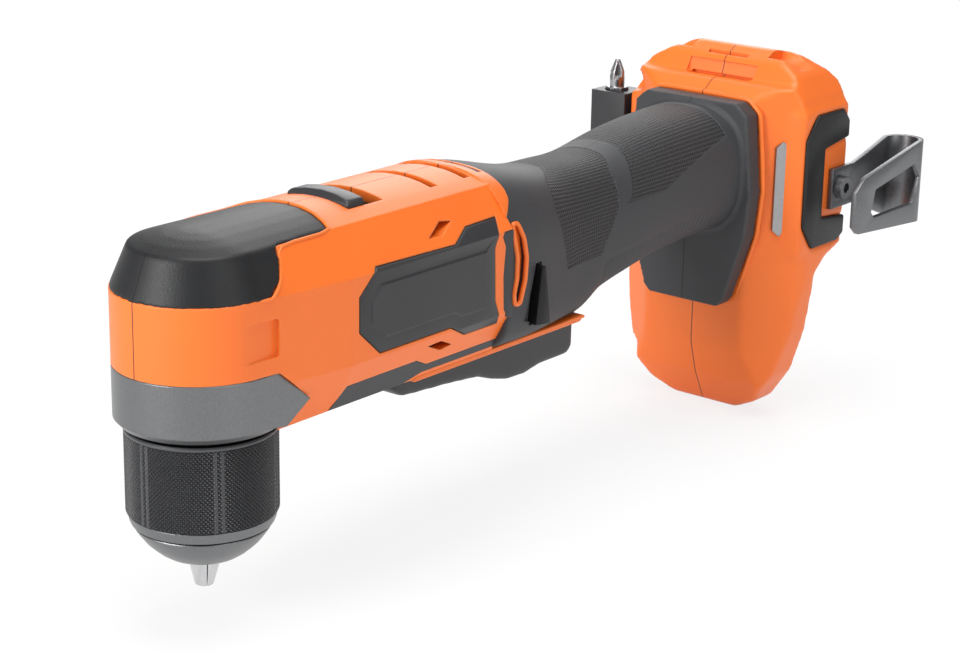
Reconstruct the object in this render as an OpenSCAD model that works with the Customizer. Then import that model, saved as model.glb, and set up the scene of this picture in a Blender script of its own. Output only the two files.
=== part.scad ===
// Cordless right angle drill with a keyless chuck, without its battery.
// Origin: tip of the closed jaws, on the chuck's axis. +X from handle to head, +Y its left side, +Z up.

/* [Chuck] */
// Diameter of the knurled sleeve
sleeve_d = 38.5; // [38:0.1:40]
// Height of the knurled sleeve
sleeve_h = 25.6; // [25:0.1:27]
// Height of the nose ring
nose_h = 8.4; // [7.6:0.2:9.2]
// How far the closed jaws stand out of the nose
jaw_out = 8.8; // [8:0.1:9.6]
// Diameter of one jaw
jaw_d = 6; // [5.4:0.1:6.2]
// Diameter of the closed jaws at their tip
jaw_tip_d = 4.7; // [4.2:0.1:5]
// Lean of a jaw away from the chuck's axis
jaw_tilt = 16; // [15:0.25:17]
// Length of a jaw
jaw_len = 25; // [24:0.5:26]
// How far a jaw slides back when the chuck opens
jaw_travel = 18; // [16:0.5:18]
// Diameter of the groove left between the closed jaws
jaw_groove_d = 1.5; // [1:0.1:2]

/* [Head] */
// Diameter of the head and of the gear case's collar
head_d = 43.2; // [42.6:0.2:46]
// Height of the gear case's collar
collar_h = 15.1; // [14.6:0.1:16.5]
// Height of the bare band above the collar
band_h = 19; // [17:0.5:21]
// Height of the bumper above the band
cap_h = 14; // [13:0.5:16]
// Thickness of the bumper
bumper_t = 1.8; // [1:0.1:2.2]
// Height of the motor's axis above the collar
axis_rise = 10.1; // [9.6:0.1:10.4]

/* [Gears] */
// Module of the bevel gears
bevel_m = 1; // [0.9:0.02:1.04]
// Face width of the bevel gears
bevel_face = 5; // [4:0.25:6]
// Module of the planet gears
planet_m = 0.65; // [0.6:0.01:0.67]
// Length of the planet gears
planet_len = 14; // [13:0.5:16]
// Wall of the gear box
gearbox_wall = 2; // [1.5:0.1:2.2]

/* [Motor] */
// Diameter of the stator
stator_d = 36; // [34:0.5:36.5]
// Length of the stator
stator_len = 28; // [26:0.5:30]
// Diameter of the rotor
rotor_d = 20; // [16:0.5:21]
// Diameter of the rotor's shaft
shaft_d = 5; // [4:0.25:6]
// Diameter of the fan
fan_d = 32; // [28:0.5:34]

/* [Body] */
// Width of the body at the side plates
body_w = 50; // [48:0.5:54]
// Width of the crowned top
body_top_w = 32.8; // [31:0.2:34]
// Fall of the crowned top from its middle to its edges
crown_h = 3.1; // [2.6:0.1:3.4]
// Width of the flat underside
body_low_w = 36; // [35:0.5:40]
// Wall of the housing
wall = 3.2; // [3:0.1:3.6]
// Depth of the side plates in the housing
plate_t = 1.2; // [0.8:0.1:1.6]

/* [Handle] */
// Width of the handle
handle_w = 38; // [36:0.5:42]
// Length of the handle behind the trigger
handle_len = 74; // [70:1:84]
// Thickness of the soft grip
grip_t = 2.2; // [1.6:0.1:2.6]
// Wall of the housing under the grip
core_t = 2.4; // [2:0.1:2.8]

/* [Trigger] */
// Length of the trigger
trigger_len = 78; // [72:1:80]
// Width of the trigger
trigger_w = 28; // [24:0.5:29]
// Swing of the trigger
trigger_deg = 4; // [3:0.25:4.5]
// Diameter of the trigger's pin
trigger_pin_d = 3; // [2.5:0.1:3.5]

/* [Selectors] */
// Travel of the speed knob
speed_travel = 6; // [5:0.25:6]
// Length of the speed knob along the body
speed_knob_len = 6.4; // [5.6:0.1:7]
// Travel of the direction bar to each side
direction_travel = 2.5; // [2:0.1:3]

/* [Foot] */
// Width of the foot
foot_w = 66; // [64:0.5:72]
// Depth of the foot, front to back
foot_len = 34; // [33:0.5:40]
// Wall of the foot
foot_wall = 3; // [2.6:0.1:3.4]
// Thickness of the side pads
pad_t = 1.4; // [1:0.1:1.8]

/* [Clip and bit holder] */
// Thickness of the belt clip's strip
clip_t = 1.6; // [1.2:0.1:2]
// Clear gap inside the belt clip
clip_gap = 10.4; // [9:0.2:13]
// Length of the belt clip behind the foot's side boss
clip_reach = 28; // [24:1:31]
// Width across the flats of the driver bit
bit_af = 6.35; // [6.35:0.05:6.4]
// Length of the driver bit
bit_len = 25; // [25:0.5:32]

/* [Fits] */
// Gap between pieces that move past each other
clear = 0.4; // [0.3:0.05:0.5]
// Radial gap of a running fit
run_fit = 0.06; // [0.04:0.01:0.08]

/* [Hidden] */
$fn = 64;
housing_orange = [0.95, 0.44, 0.14];
rubber_black = [0.2, 0.2, 0.22];
case_grey = [0.45, 0.45, 0.46];
steel = [0.72, 0.73, 0.75];
copper = [0.75, 0.42, 0.2];
board_green = [0.1, 0.35, 0.2];
big = 400;
sliver = 0.02;

// Heights, from the jaw tips up
nose_z0 = jaw_out;
nose_z1 = nose_z0 + nose_h;
sleeve_z0 = nose_z1 + clear;
sleeve_z1 = sleeve_z0 + sleeve_h;
collar_z0 = sleeve_z1 + 1.1;
collar_z1 = collar_z0 + collar_h;
band_z1 = collar_z1 + band_h;
top_z = band_z1 + cap_h;
axis_z = collar_z1 + axis_rise;
body_z0 = collar_z0 - 1.3;
side_z0 = body_z0 + 13;
facet_slope = 0.6;

// Chuck radii
jaw_r = jaw_d / 2;
jaw_lean = tan(jaw_tilt);
jaw_axis_r = jaw_tip_d / 2 - jaw_r / cos(jaw_tilt);
jaw_gap = 0.12;
nose_bore_r = 9;
chuck_r = sleeve_d / 2 - 3.2;
sleeve_in_r = chuck_r + clear;
nut_z0 = nose_z1 + 9.8;
nut_z1 = nut_z0 + 6;
nut_floor_r = 9.2;
chuck_z1 = sleeve_z1 + 0.6;
shank_r = 5.2;
spindle_seat_r = 4.75;
spindle_seat_z = chuck_z1 - 10.6;

// Bevel gears, whose axes cross at the apex
pinion_teeth = 12;
bevel_teeth = 28;
pressure = 25;
bevel_back = 0.2;
pinion_r = bevel_m * pinion_teeth / 2;
bevel_r = bevel_m * bevel_teeth / 2;
bevel_cone = atan(bevel_teeth / pinion_teeth);
bevel_gear_z = axis_z - pinion_r;

// Spindle and its bearings
spindle_r = 7.5;
spindle_top_r = 4;
gear_seat_r = 6;
lower_bearing_r = 14;
lower_bearing_z0 = collar_z0 + 2.7;
lower_bearing_h = 9.5;
upper_bearing_r = 9;
upper_bearing_h = 6;
upper_bearing_z0 = top_z - wall - 2 - upper_bearing_h;
gear_hub_z0 = lower_bearing_z0 + lower_bearing_h + 1.6;

// Planet gears
sun_teeth = 12;
planet_teeth = 15;
ring_teeth = sun_teeth + 2 * planet_teeth;
planet_back = 0.12;
carrier_r = planet_m * (sun_teeth + planet_teeth) / 2;
ring_r = planet_m * ring_teeth / 2;
ring_out_r = ring_r + 2.55;
gearbox_in_r = ring_out_r + 0.1;
gearbox_r = gearbox_in_r + gearbox_wall;
planet_pin_r = 2;
gearbox_nose_r = 11;

// Stations along the motor's axis, from the chuck back
pinion_bearing_x = -(bevel_r + 2);
pinion_bearing_len = 6;
gearbox_x1 = pinion_bearing_x - pinion_bearing_len - 4;
carrier_x1 = gearbox_x1 - 0.5;
carrier_t = 4;
planet_x1 = carrier_x1 - carrier_t - 0.5;
planet_x0 = planet_x1 - planet_len;
motor_plate_x1 = planet_x0 - 3;
motor_plate_t = 4;
motor_plate_x0 = motor_plate_x1 - motor_plate_t;
stator_x1 = motor_plate_x0 - 4;
stator_x0 = stator_x1 - stator_len;
winding_out = 3;
fan_x1 = stator_x0 - winding_out - 2;
fan_len = 6;
fan_x0 = fan_x1 - fan_len;
rear_bearing_x1 = fan_x0 - 4.5;
rear_bearing_len = 4.5;
rear_bearing_x0 = rear_bearing_x1 - rear_bearing_len;
motor_bearing_r = 6.5;
ring_len = 6;
ring_x1 = planet_x1 - 1;
ring_groove_x = ring_x1 - ring_len / 2;

// Body outline
head_r = head_d / 2;
head_top_r = head_r - 4.6;
head_low_r = head_r - 3.4;
body_hw = body_w / 2;
top_hw = body_top_w / 2;
low_hw = body_low_w / 2;
blend_x = -28;
body_x0 = fan_x1 - 2;
collar_tip = [-16.4, collar_z0 + 5.7];
collar_shoulder_x = -5;
collar_heel_x = -8;
lamp_x0 = -(sleeve_d / 2 + 4.75);
skirt_x1 = -(sleeve_d / 2 + 6.75);
lamp_x1 = -10.6;
lamp_z0 = body_z0 - 3.2;
lamp_hw = 4;

// Handle outline: stations along X with the top, the underside, half the width, and how square each half is
handle_hw = handle_w / 2;
trigger_x1 = -56;
trigger_x0 = trigger_x1 - trigger_len;
trigger_hw = trigger_w / 2;
bay_x0 = trigger_x0 - 2;
bay_hw = trigger_hw + clear;
bay_z1 = axis_z - stator_d / 2 - 1.2;
flange_x1 = bay_x0 - handle_len;
flange_t = 6.4;
foot_x1 = flange_x1 - flange_t;
neck_z1 = top_z - 7.2;
handle_z1 = top_z - 1.6;
handle_z0 = body_z0 + 5.2;
neck_stations = [
  [body_x0, top_z - 0.1, body_z0, body_hw - 0.1, 3, 6],
  [body_x0 - 11, top_z - 1.4, body_z0, body_hw - 0.7, 2.9, 6],
  [body_x0 - 23, top_z - 4.8, body_z0, handle_hw + 3, 2.8, 6],
  [body_x0 - 35, neck_z1, body_z0, handle_hw + 0.8, 2.7, 6],
  [bay_x0 + 3, neck_z1, body_z0, handle_hw, 2.6, 6],
  [bay_x0 - 3, neck_z1, body_z0 + 0.8, handle_hw - 0.2, 2.6, 4],
  [bay_x0 - 9, neck_z1 - 0.3, body_z0 + 2, handle_hw - 0.4, 2.6, 3],
  [bay_x0 - 17, neck_z1 - 0.2, body_z0 + 3, handle_hw - 0.2, 2.5, 2.7],
  [bay_x0 - 26, neck_z1 + 1.2, handle_z0 - 1, handle_hw, 2.5, 2.5],
  [bay_x0 - 38, handle_z1 - 2, handle_z0 + 1, handle_hw, 2.5, 2.5],
  [bay_x0 - 54, handle_z1 - 0.4, handle_z0 + 2.4, handle_hw, 2.5, 2.5],
  [flange_x1 + 2, handle_z1, handle_z0 + 3, handle_hw + 1, 2.6, 2.6]
];
function moved(s, x) = [x, s[1], s[2], s[3], s[4], s[5]];
neck_end = neck_stations[len(neck_stations) - 1];
grip_stations = concat(neck_stations, [moved(neck_end, foot_x1)]);
core_stations = concat([moved(neck_stations[0], body_x0 + 5)], neck_stations, [moved(neck_end, foot_x1 - 2)]);
arc_steps = 10;

// Foot outline
foot_hw = foot_w / 2;
foot_x0 = foot_x1 - foot_len;
foot_z0 = body_z0 - 53;
foot_z1 = top_z + 13.2;
foot_back_x = foot_x1 - 19;
bay_floor_z = body_z0 - 4;
bay_x1 = foot_x1 - 15;
plate_bay_t = 3;
bay_z2 = top_z + 4.4;
boss_x1 = foot_x1 - 8;
boss_z0 = body_z0 + 1;
boss_z1 = top_z - 3;
pad_y = foot_hw;
rail_w = 3;
hook_z = body_z0 + 20.5;

// Housing screws: places in the side view
screw_r = 1.6;
screw_head_r = 3;
screw_head_h = 2.5;
screw_seat_y = 9;
screw_boss_hl = 12;
screw_places = [
  [-22.8, body_z0 + 3.6],
  [body_x0 - 19, top_z - 12.9],
  [bay_x0 - 7.5, body_z0 + 12.4],
  [bay_x0 - 7.5, top_z - 18.4],
  [flange_x1 + 7, body_z0 + 19],
  [flange_x1 + 7, top_z - 12.9],
  [foot_x1 - 7.5, foot_z0 + 14],
  [foot_x1 - 9, top_z - 1.4]
];

// Helpers: extrude an outline across the width, along the length, and a round bar on the motor's axis
module across(y0, y1) translate([0, y1, 0]) rotate([90, 0, 0]) linear_extrude(y1 - y0) children();
module along(x0, x1) translate([x0, 0, 0]) rotate([90, 0, 90]) linear_extrude(x1 - x0) children();
module bar(x0, x1, r) translate([x0, 0, axis_z]) rotate([0, 90, 0]) cylinder(r = r, h = x1 - x0);
module tube(x0, x1, r, bore) difference() {
  bar(x0, x1, r);
  bar(x0 - 1, x1 + 1, bore);
}
module block(x0, x1, y0, y1, z0, z1) translate([x0, y0, z0]) cube([x1 - x0, y1 - y0, z1 - z0]);
module crossbar(x, z, r, y0, y1) translate([x, y0, z]) rotate([-90, 0, 0]) cylinder(r = r, h = y1 - y0);
module half(side) {
  if (side > 0) block(-big, big, 0, big, -big, big);
  else block(-big, big, -big, 0, -big, big);
}
module both_sides() {
  children();
  mirror([0, 1, 0]) children();
}

// Body: a round head blended into a straight body with sloped shoulders, drawn in by w all round
function section(w) = let (
  t = top_hw - facet_slope * w,
  s = body_hw - w,
  l = low_hw - facet_slope * w
) [
  [t, top_z - w - crown_h], [s, band_z1], [s, side_z0], [l, body_z0 + w],
  [-l, body_z0 + w], [-s, side_z0], [-s, band_z1], [-t, top_z - w - crown_h], each crown(t, w)
];
crown_steps = 4;
function crown(t, w) = [for (i = [1 - crown_steps : crown_steps - 1]) let (u = i / crown_steps)
  [t * u, top_z - w - crown_h * u * u]];
module body_prism(w, x0 = body_x0, x1 = blend_x) along(x0, x1) polygon(section(w));
function head_section(w) = let (
  t = head_top_r - facet_slope * w - sliver,
  s = head_r - w - sliver,
  l = head_low_r - facet_slope * w - sliver
) [
  [t, top_z - w - crown_h], [s, band_z1], [s, side_z0], [l, body_z0 + w],
  [-l, body_z0 + w], [-s, side_z0], [-s, band_z1], [-t, top_z - w - crown_h], each crown(t, w)
];
module head_blend(w) {
  n = 7 + 2 * crown_steps;
  rotate_extrude() polygon([
    [0, body_z0 + w], [head_low_r - facet_slope * w, body_z0 + w], [head_r - w, side_z0], [head_r - w, band_z1],
    for (i = [crown_steps : -1 : 0]) let (u = i / crown_steps)
      [(head_top_r - facet_slope * w) * u, top_z - w - crown_h * u * u]
  ]);
  polyhedron(
    points = concat(
      [for (p = head_section(w)) [0, p[0], p[1]]],
      [for (p = section(w)) [blend_x - sliver, p[0], p[1]]]
    ),
    faces = [
      [for (i = [0 : n - 1]) i],
      [for (i = [n - 1 : -1 : 0]) n + i],
      for (i = [0 : n - 1]) let (j = (i + 1) % n) each [[n + j, j, i], [n + i, n + j, i]]
    ]
  );
}
module body_form(w, x0 = body_x0) {
  head_blend(w);
  body_prism(w, x0);
}

// Outline of the collar's place under the head, seen from the side
function collar_place() = [
  [big, 0], [big, collar_z1], [collar_shoulder_x, collar_z1], collar_tip,
  [collar_heel_x, body_z0 + 0.6], [collar_heel_x, 0]
];

// Bumper's place: the top of the head, with a tongue back along the top
module bumper_place() intersection() {
  across(-big, big) polygon([
    [big, band_z1], [-3, band_z1], [-7, band_z1 + 3.4], [-9.5, top_z - 3.4],
    [-34, top_z - 3.4], [-34, big], [big, big]
  ]);
  linear_extrude(big) polygon([
    [big, -big], [-24, -big], [-26.4, -19], [-29, -16.6], [-31.2, -9], [-31.8, 0],
    [-31.2, 9], [-29, 16.6], [-26.4, 19], [-24, big], [big, big]
  ]);
}

// Side plate outline, seen from the side
function plate_outline(c = 0) = [
  [-37.1, band_z1 + 1 + c], [-30.4 + c, band_z1 - 5.2], [-30.4 + c, side_z0 + 7.9],
  [-38, side_z0 + 1 - c], [-65.5, side_z0 + 1.1 - c], [-73, side_z0 - 2.7 - c],
  [-86.6 - c, side_z0 - 2.7 - c], [-83.9 - c, side_z0 + 4.5], [-83.4 - c, band_z1 - 3.6],
  [-87 - c, band_z1 + 3.8 + c], [-74.5 + c, band_z1 + 3.5 + c], [-67.7 + c, band_z1 + 0.5 + c]
];
module side_plate_place(side, c = 0) intersection() {
  across(-big, big) polygon(plate_outline(c));
  half(side);
}

// Skirt outline: the soft layer along the lower side of the body
function skirt_outline() = [
  [skirt_x1, body_z0 - 1], [skirt_x1 - 3.6, body_z0 + 6.6], [-56, body_z0 + 6.8], [-61.4, body_z0 + 4.3],
  [body_x0 - 1, body_z0 + 4.4], [body_x0 - 1, body_z0 + 1.8], [trigger_x1 - 5, body_z0 + 1.8],
  [trigger_x1 + 4, body_z0 - 1]
];

// Handle: half of a rounded section, from its lowest to its highest point, drawn in by w
function handle_arc(s, w) = let (
  hh = (s[1] - s[2]) / 2 - w,
  hw = s[3] - w,
  mid = (s[1] + s[2]) / 2
) [for (i = [0 : arc_steps]) let (
  a = 180 * i / arc_steps - 90,
  c = max(0, cos(a)),
  d = sin(a),
  e = 2 / (d < 0 ? s[5] : s[4])
) [s[0], i % arc_steps == 0 ? 0 : hw * pow(c, e), mid + hh * sign(d) * pow(abs(d), e)]];
function backwards(list) = [for (i = [len(list) - 1 : -1 : 0]) list[i]];
module handle_shell(stations, w_out, w_in) {
  n = 2 * (arc_steps + 1);
  rings = len(stations);
  polyhedron(
    points = [for (s = stations) each concat(handle_arc(s, w_out), backwards(handle_arc(s, w_in)))],
    faces = [
      for (i = [0 : arc_steps - 1]) each [[n - 1 - i, n - 2 - i, i + 1], [n - 1 - i, i + 1, i]],
      for (i = [0 : arc_steps - 1]) let (e = (rings - 1) * n) each [
        [e + i, e + i + 1, e + n - 2 - i], [e + i, e + n - 2 - i, e + n - 1 - i]
      ],
      for (k = [0 : rings - 2], i = [0 : n - 1]) let (a = k * n, b = a + n, j = (i + 1) % n) each [
        i > arc_steps ? [b + j, b + i, a + j] : [b + j, b + i, a + i],
        i > arc_steps ? [b + i, a + i, a + j] : [a + j, b + j, a + i]
      ]
    ]
  );
}
function handle_loop(w) = let (half = handle_arc(neck_end, w)) concat(
  [for (p = half) [p[1], p[2]]], [for (p = backwards(half)) [-p[1], p[2]]]
);

// Flange where the handle meets the foot
function flange_outline(w = 0) = let (z0 = body_z0 - 15.4 + w, z1 = top_z - w) [
  [-13 + w, z0], [13 - w, z0], [15 - w, z0 + 2.4], [21.6 - w, body_z0 + 8], [23 - w, body_z0 + 22],
  [20.6 - w, z1 - 3.4], [16.6 - w, z1], [-16.6 + w, z1], [-20.6 + w, z1 - 3.4],
  [-23 + w, body_z0 + 22], [-21.6 + w, body_z0 + 8], [-15 + w, z0 + 2.4]
];

// Foot: where three outlines cross, drawn in by w all round
function foot_side(w) = [
  [foot_x1 - w, foot_z0 + 22], [foot_x1 - w, top_z + 0.4 - w], [foot_x1 - 5, top_z + 4 - w],
  [foot_x1 - 9, top_z + 4.5 - w], [foot_x1 - 12, top_z + 10 - w], [foot_x1 - 16, top_z + 12 - w],
  [foot_x1 - 18, foot_z1 - w], [foot_x1 - 25, foot_z1 - 1.4 - w], [foot_x0 + 1, top_z + 4 - w],
  [foot_x0, boss_z1], [foot_x0, boss_z0], [foot_back_x - 6, bay_floor_z + 2],
  [foot_back_x + w, bay_floor_z - 3], [foot_back_x + w, foot_z0 + w],
  [foot_x1 - 9 - 0.4 * w, foot_z0 + w], [foot_x1 - 3.4 - w, foot_z0 + 11]
];
function foot_front(w) = let (h = foot_hw - w) concat(
  [for (p = foot_half(h, w)) p],
  [for (i = [len(foot_half(h, w)) - 1 : -1 : 0]) [-foot_half(h, w)[i][0], foot_half(h, w)[i][1]]]
);
function foot_half(h, w) = [
  [h - 21, foot_z0 + w], [h - 13, foot_z0 + 4 + w], [h - 6.4, foot_z0 + 14], [h - 2.2, foot_z0 + 28],
  [h, foot_z0 + 44], [h, top_z - 7], [h - 2, top_z + 0.5], [h - 6, top_z + 7 - w / 2],
  [h - 13, foot_z1 - 2 - w], [h - 20, foot_z1 - w]
];
function foot_plan(w) = let (h = foot_hw - w) [
  [foot_x1 - w, h - 15], [foot_x1 - 9 - w / 2, h - 1.2], [foot_x1 - 13, h], [foot_x0 - 1, h],
  [foot_x0 - 1, -h], [foot_x1 - 13, -h], [foot_x1 - 9 - w / 2, 1.2 - h], [foot_x1 - w, 15 - h]
];
module foot_form(w) intersection() {
  across(-big, big) polygon(foot_side(w));
  along(-big, 0) polygon(foot_front(w));
  translate([0, 0, -big / 2]) linear_extrude(big) polygon(foot_plan(w));
}
module foot_boss() both_sides() translate([0, 0, boss_z0]) linear_extrude(boss_z1 - boss_z0) polygon([
  [boss_x1 + 3, foot_hw - 8], [boss_x1, pad_y], [foot_x0, pad_y], [foot_x0, foot_hw - 3]
]);

// Side pad: a C that is open to the rear, seen from the side
function pad_outline(c = 0) = let (x1 = boss_x1 - 1.2 + c, z0 = boss_z0 + 1.4 - c, z1 = boss_z1 - 1.4 + c) [
  [x1 - 6, z0], [x1, z0 + 8], [x1, z1 - 7], [x1 - 6, z1], [foot_x0 + 3.4 - c, z1],
  [foot_x0 - c, z1 - 4], [foot_x0 - c, z1 - 9.5 - 2 * c], [x1 - 11 - 2 * c, z1 - 11.5 - 2 * c],
  [x1 - 11 - 2 * c, z0 + 9.5 + 2 * c], [foot_x0 - c, z0 + 8 + 2 * c], [foot_x0 - c, z0 + 2],
  [foot_x0 + 3.4 - c, z0]
];

// Vents: cross slots in the top, a tall slot at each side of the fan, two small openings by the plate
module vents() {
  for (x = [stator_x1 - 18.4, body_x0 + 3]) block(x - 1.5, x + 1.5, -11.4, 11.4, top_z - wall - 3, top_z + 1);
  both_sides() {
    across(15, big) polygon(vent_slot(0));
    across(15, big) polygon(small_vent(-65, band_z1 + 4.6, 1));
    across(15, big) polygon(small_vent(-63.6, side_z0 - 3.7, -1));
  }
}
function vent_slot(c) = let (x = fan_x0 + 1) [
  [x + 0.8, side_z0 + 1 - c], [x + 2.4 + c, side_z0 + 3.5], [x + 2.6 + c, band_z1 - 3.4],
  [x - 0.2, band_z1 + 1.2 + c], [x - 2.6 - c, band_z1 - 6.4], [x - 1.6 - c, side_z0 + 6]
];
function small_vent(x, z, lean) = [
  [x + 5.5, z - 1.3 * lean], [x + 0.4, z - 1.6 * lean], [x - 5.5, z + lean], [x - 1.2, z + 1.6 * lean]
];

// Bay under the body where the trigger sits, and the openings for the selectors
module trigger_bay() block(bay_x0, trigger_x1 + 1.4, -bay_hw, bay_hw, body_z0 - 3, bay_z1);
direction_x = rear_bearing_x0 - 0.4;
direction_z = body_z0 + 13;
function direction_outline(c) = [
  [direction_x + 3.2 + c, direction_z - 6.4 - c], [direction_x + 1 + c / 2, direction_z + 9.5 + c],
  [direction_x - 0.6 - c, direction_z + 9.5 + c], [direction_x - 3.2 - c, direction_z - 7.2 - c]
];
speed_x1 = -42;
speed_x0 = speed_x1 - speed_knob_len;
knob_hw = 10.6;
knob_rise = 1.4;
fork_z0 = axis_z + max(gearbox_r, stator_d / 2) + 0.3;
fork_t = 0.8;
fork_hw = 11.4;
fork_x0 = speed_x0 - speed_travel - 1.4;
module speed_window() block(
  speed_x0 - speed_travel - clear, speed_x1 + clear,
  -knob_hw - clear, knob_hw + clear, fork_z0, top_z + 1
);
module fork_way() block(
  fork_x0 - speed_travel - clear, ring_groove_x + 3,
  -fork_hw - clear, fork_hw + clear, fork_z0 - 0.2, fork_z0 + fork_t + 0.25
);

// Housing half: head and body shell, core of the handle, foot, webs and screw bosses
module body_shell() difference() {
  union() {
    difference() {
      body_form(0);
      bumper_place();
    }
    body_form(bumper_t);
  }
  body_form(wall, body_x0 - 1);
  across(-big, big) polygon(collar_place());
  translate([0, 0, body_z0 - 1]) cylinder(r = gear_case_r + 0.1, h = collar_z1 - body_z0 + 1);
  cylinder(r = sleeve_d / 2 + 0.6, h = sleeve_z1 + 0.7);
  side_plate_cut(1);
  side_plate_cut(-1);
}
module foot_shell() difference() {
  union() {
    foot_form(0);
    foot_boss();
  }
  foot_cavity();
  battery_bay();
  both_sides() across(pad_y - pad_t, big) polygon(pad_outline(0));
  along(foot_x1 - foot_wall - 1, foot_x1 + 1) polygon(handle_loop(grip_t + core_t));
}
module foot_cavity() intersection() {
  foot_form(foot_wall);
  block(bay_x1 - sliver, big, -foot_hw + foot_wall + 2, foot_hw - foot_wall - 2, -big, bay_z2 - 2);
}
module battery_bay() intersection() {
  block(-big, bay_x1, -foot_hw + foot_wall + 0.6, foot_hw - foot_wall - 0.6, bay_floor_z - 10, bay_z2);
  along(-big, 0) polygon(foot_front(foot_wall + 0.6));
}
module rails() both_sides() block(
  foot_x0 + 8, foot_x0 + 11, foot_hw - foot_wall - 0.6 - rail_w, foot_hw - foot_wall, boss_z0 + 2, boss_z1
);
gear_case_r = head_r - 3.4;
module webs() {
  difference() {
    intersection() {
      body_prism(wall - 0.5);
      union() {
        block(planet_x1 - 2, planet_x1 + 1, -big, big, -big, big);
        for (x = [stator_x1 - 14, stator_x0 + 5]) block(x, x + 3, -big, big, -big, big);
      }
    }
    bar(planet_x0 - 1, 0, gearbox_r + sliver);
    bar(stator_x0, stator_x1, stator_d / 2 + sliver);
  }
  difference() {
    along(rear_bearing_x0, rear_bearing_x1) polygon(bearing_web());
    bar(rear_bearing_x0 - 1, rear_bearing_x1 + 1, motor_bearing_r + sliver);
  }
  difference() {
    translate([0, 0, upper_bearing_z0])
      cylinder(r = upper_bearing_r + 2.4, h = top_z - wall - 0.8 - upper_bearing_z0);
    translate([0, 0, upper_bearing_z0 - 1]) cylinder(r = upper_bearing_r + sliver, h = upper_bearing_h + 1);
  }
  both_sides() {
    crossbar(trigger_pin_x, trigger_pin_z, 2.7, bay_hw, low_hw - 1.4);
    block(switch_x0 + 4, plunger_x, switch_hw, handle_hw - grip_t - 1.4, switch_z0 + 3, switch_z0 + 12);
    block(
      board_x0 + 4, board_x1 - 4, board_hw - 1.4, handle_hw - grip_t - core_t + 0.8, board_z - 3, board_z
    );
  }
}
function bearing_web() = let (y = body_hw - grip_t - core_t - 0.4, z = top_z - grip_t - core_t - 2) [
  [y - 9, z], [y - 2, z - 7], [y, z - 14], [y, bay_z1 + 14], [9, bay_z1 + 10],
  [-9, bay_z1 + 10], [-y, bay_z1 + 14], [-y, z - 14], [2 - y, z - 7], [9 - y, z]
];
module bosses() for (p = screw_places) {
  crossbar(p[0], p[1], screw_head_r + 1.2, -screw_boss_hl, 0);
  crossbar(p[0], p[1], screw_head_r + 1.2, 0, screw_boss_hl);
}
module lamp_lug() difference() {
  block(lamp_x0, lamp_x1, 6 - low_hw, low_hw - 6, lamp_z0, body_z0 + 1.5);
  cylinder(r = sleeve_d / 2 + 1.2, h = big);
  lamp_seat(0.05);
}
module lamp_seat(c) block(
  lamp_x0 + 1.2 - c, -sleeve_d / 2, -lamp_hw - c, lamp_hw + c, lamp_z0 - 1, lamp_z0 + 2 + c
);
module housing(side) color(housing_orange) difference() {
  union() {
    intersection() {
      half(side);
      union() {
        body_shell();
        foot_shell();
        rails();
        webs();
        bosses();
        lamp_lug();
      }
    }
    mirror([0, side > 0 ? 0 : 1, 0]) handle_shell(core_stations, grip_t, grip_t + core_t);
  }
  vents();
  trigger_bay();
  across(-big, big) polygon(direction_outline(clear));
  speed_window();
  fork_way();
  skirt_cut();
  both_sides() badge_form(0.05);
  screw_holes();
  hook_holes();
  both_sides() crossbar(trigger_pin_x, trigger_pin_z, trigger_pin_d / 2 + run_fit, 0, pin_hl + 0.2);
}
module screw_holes() for (p = screw_places) {
  crossbar(p[0], p[1], screw_r + 0.05, -screw_boss_hl, screw_seat_y + 1);
  crossbar(p[0], p[1], screw_head_r + 0.2, -big, -screw_seat_y + screw_head_h);
}
module hook_holes() both_sides() crossbar(hook_x, hook_z, hook_screw_r + 0.05, foot_hw - foot_wall - 4, big);
module housing_left() housing(1);
module housing_right() housing(-1);

// Bumper halves over the head
module bumper_skin() difference() {
  intersection() {
    body_form(0);
    bumper_place();
  }
  body_form(bumper_t, body_x0 - 1);
}
module bumper(side) color(rubber_black) intersection() {
  half(side);
  bumper_skin();
}
module bumper_left() bumper(1);
module bumper_right() bumper(-1);

// Soft grip halves: skirt, neck, handle and flange
skirt_t = 1.6;
module skirt_cut() difference() {
  across(-big, big) polygon(skirt_outline());
  body_prism(skirt_t, body_x0 - 2, 0);
}
module skirt() intersection() {
  difference() {
    body_prism(0, body_x0 - 1, blend_x + 3);
    body_prism(skirt_t, body_x0 - 2, blend_x + 4);
  }
  across(-big, big) polygon(skirt_outline());
}
module flange() difference() {
  along(foot_x1, flange_x1) polygon(flange_outline());
  along(foot_x1 - 1, flange_x1 + 1) polygon(handle_loop(grip_t - 0.6));
}
module grip(side) color(rubber_black) difference() {
  union() {
    intersection() {
      half(side);
      union() {
        skirt();
        flange();
      }
    }
    mirror([0, side > 0 ? 0 : 1, 0]) handle_shell(grip_stations, 0, grip_t);
  }
  trigger_bay();
  both_sides() across(10, big) polygon(vent_slot(0));
  across(-big, big) polygon(direction_outline(clear));
  screw_holes();
}
module grip_left() grip(1);
module grip_right() grip(-1);

// Bare side plates set into the body
module side_plate_cut(side) intersection() {
  difference() {
    body_prism(-1);
    body_prism(plate_t, body_x0 - 1, 0);
  }
  side_plate_place(side, 0.15);
}
module side_plate(side) color(rubber_black) intersection() {
  difference() {
    body_prism(-0.3);
    body_prism(plate_t, body_x0 - 1, 0);
  }
  side_plate_place(side);
}
module side_plate_left() side_plate(1);
module side_plate_right() side_plate(-1);

// Soft pads at the sides of the foot
module pad_form() across(pad_y - pad_t, pad_y + 0.4) polygon(pad_outline(-0.1));
module pad_left() color(rubber_black) pad_form();
module pad_right() color(rubber_black) mirror([0, 1, 0]) pad_form();

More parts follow.
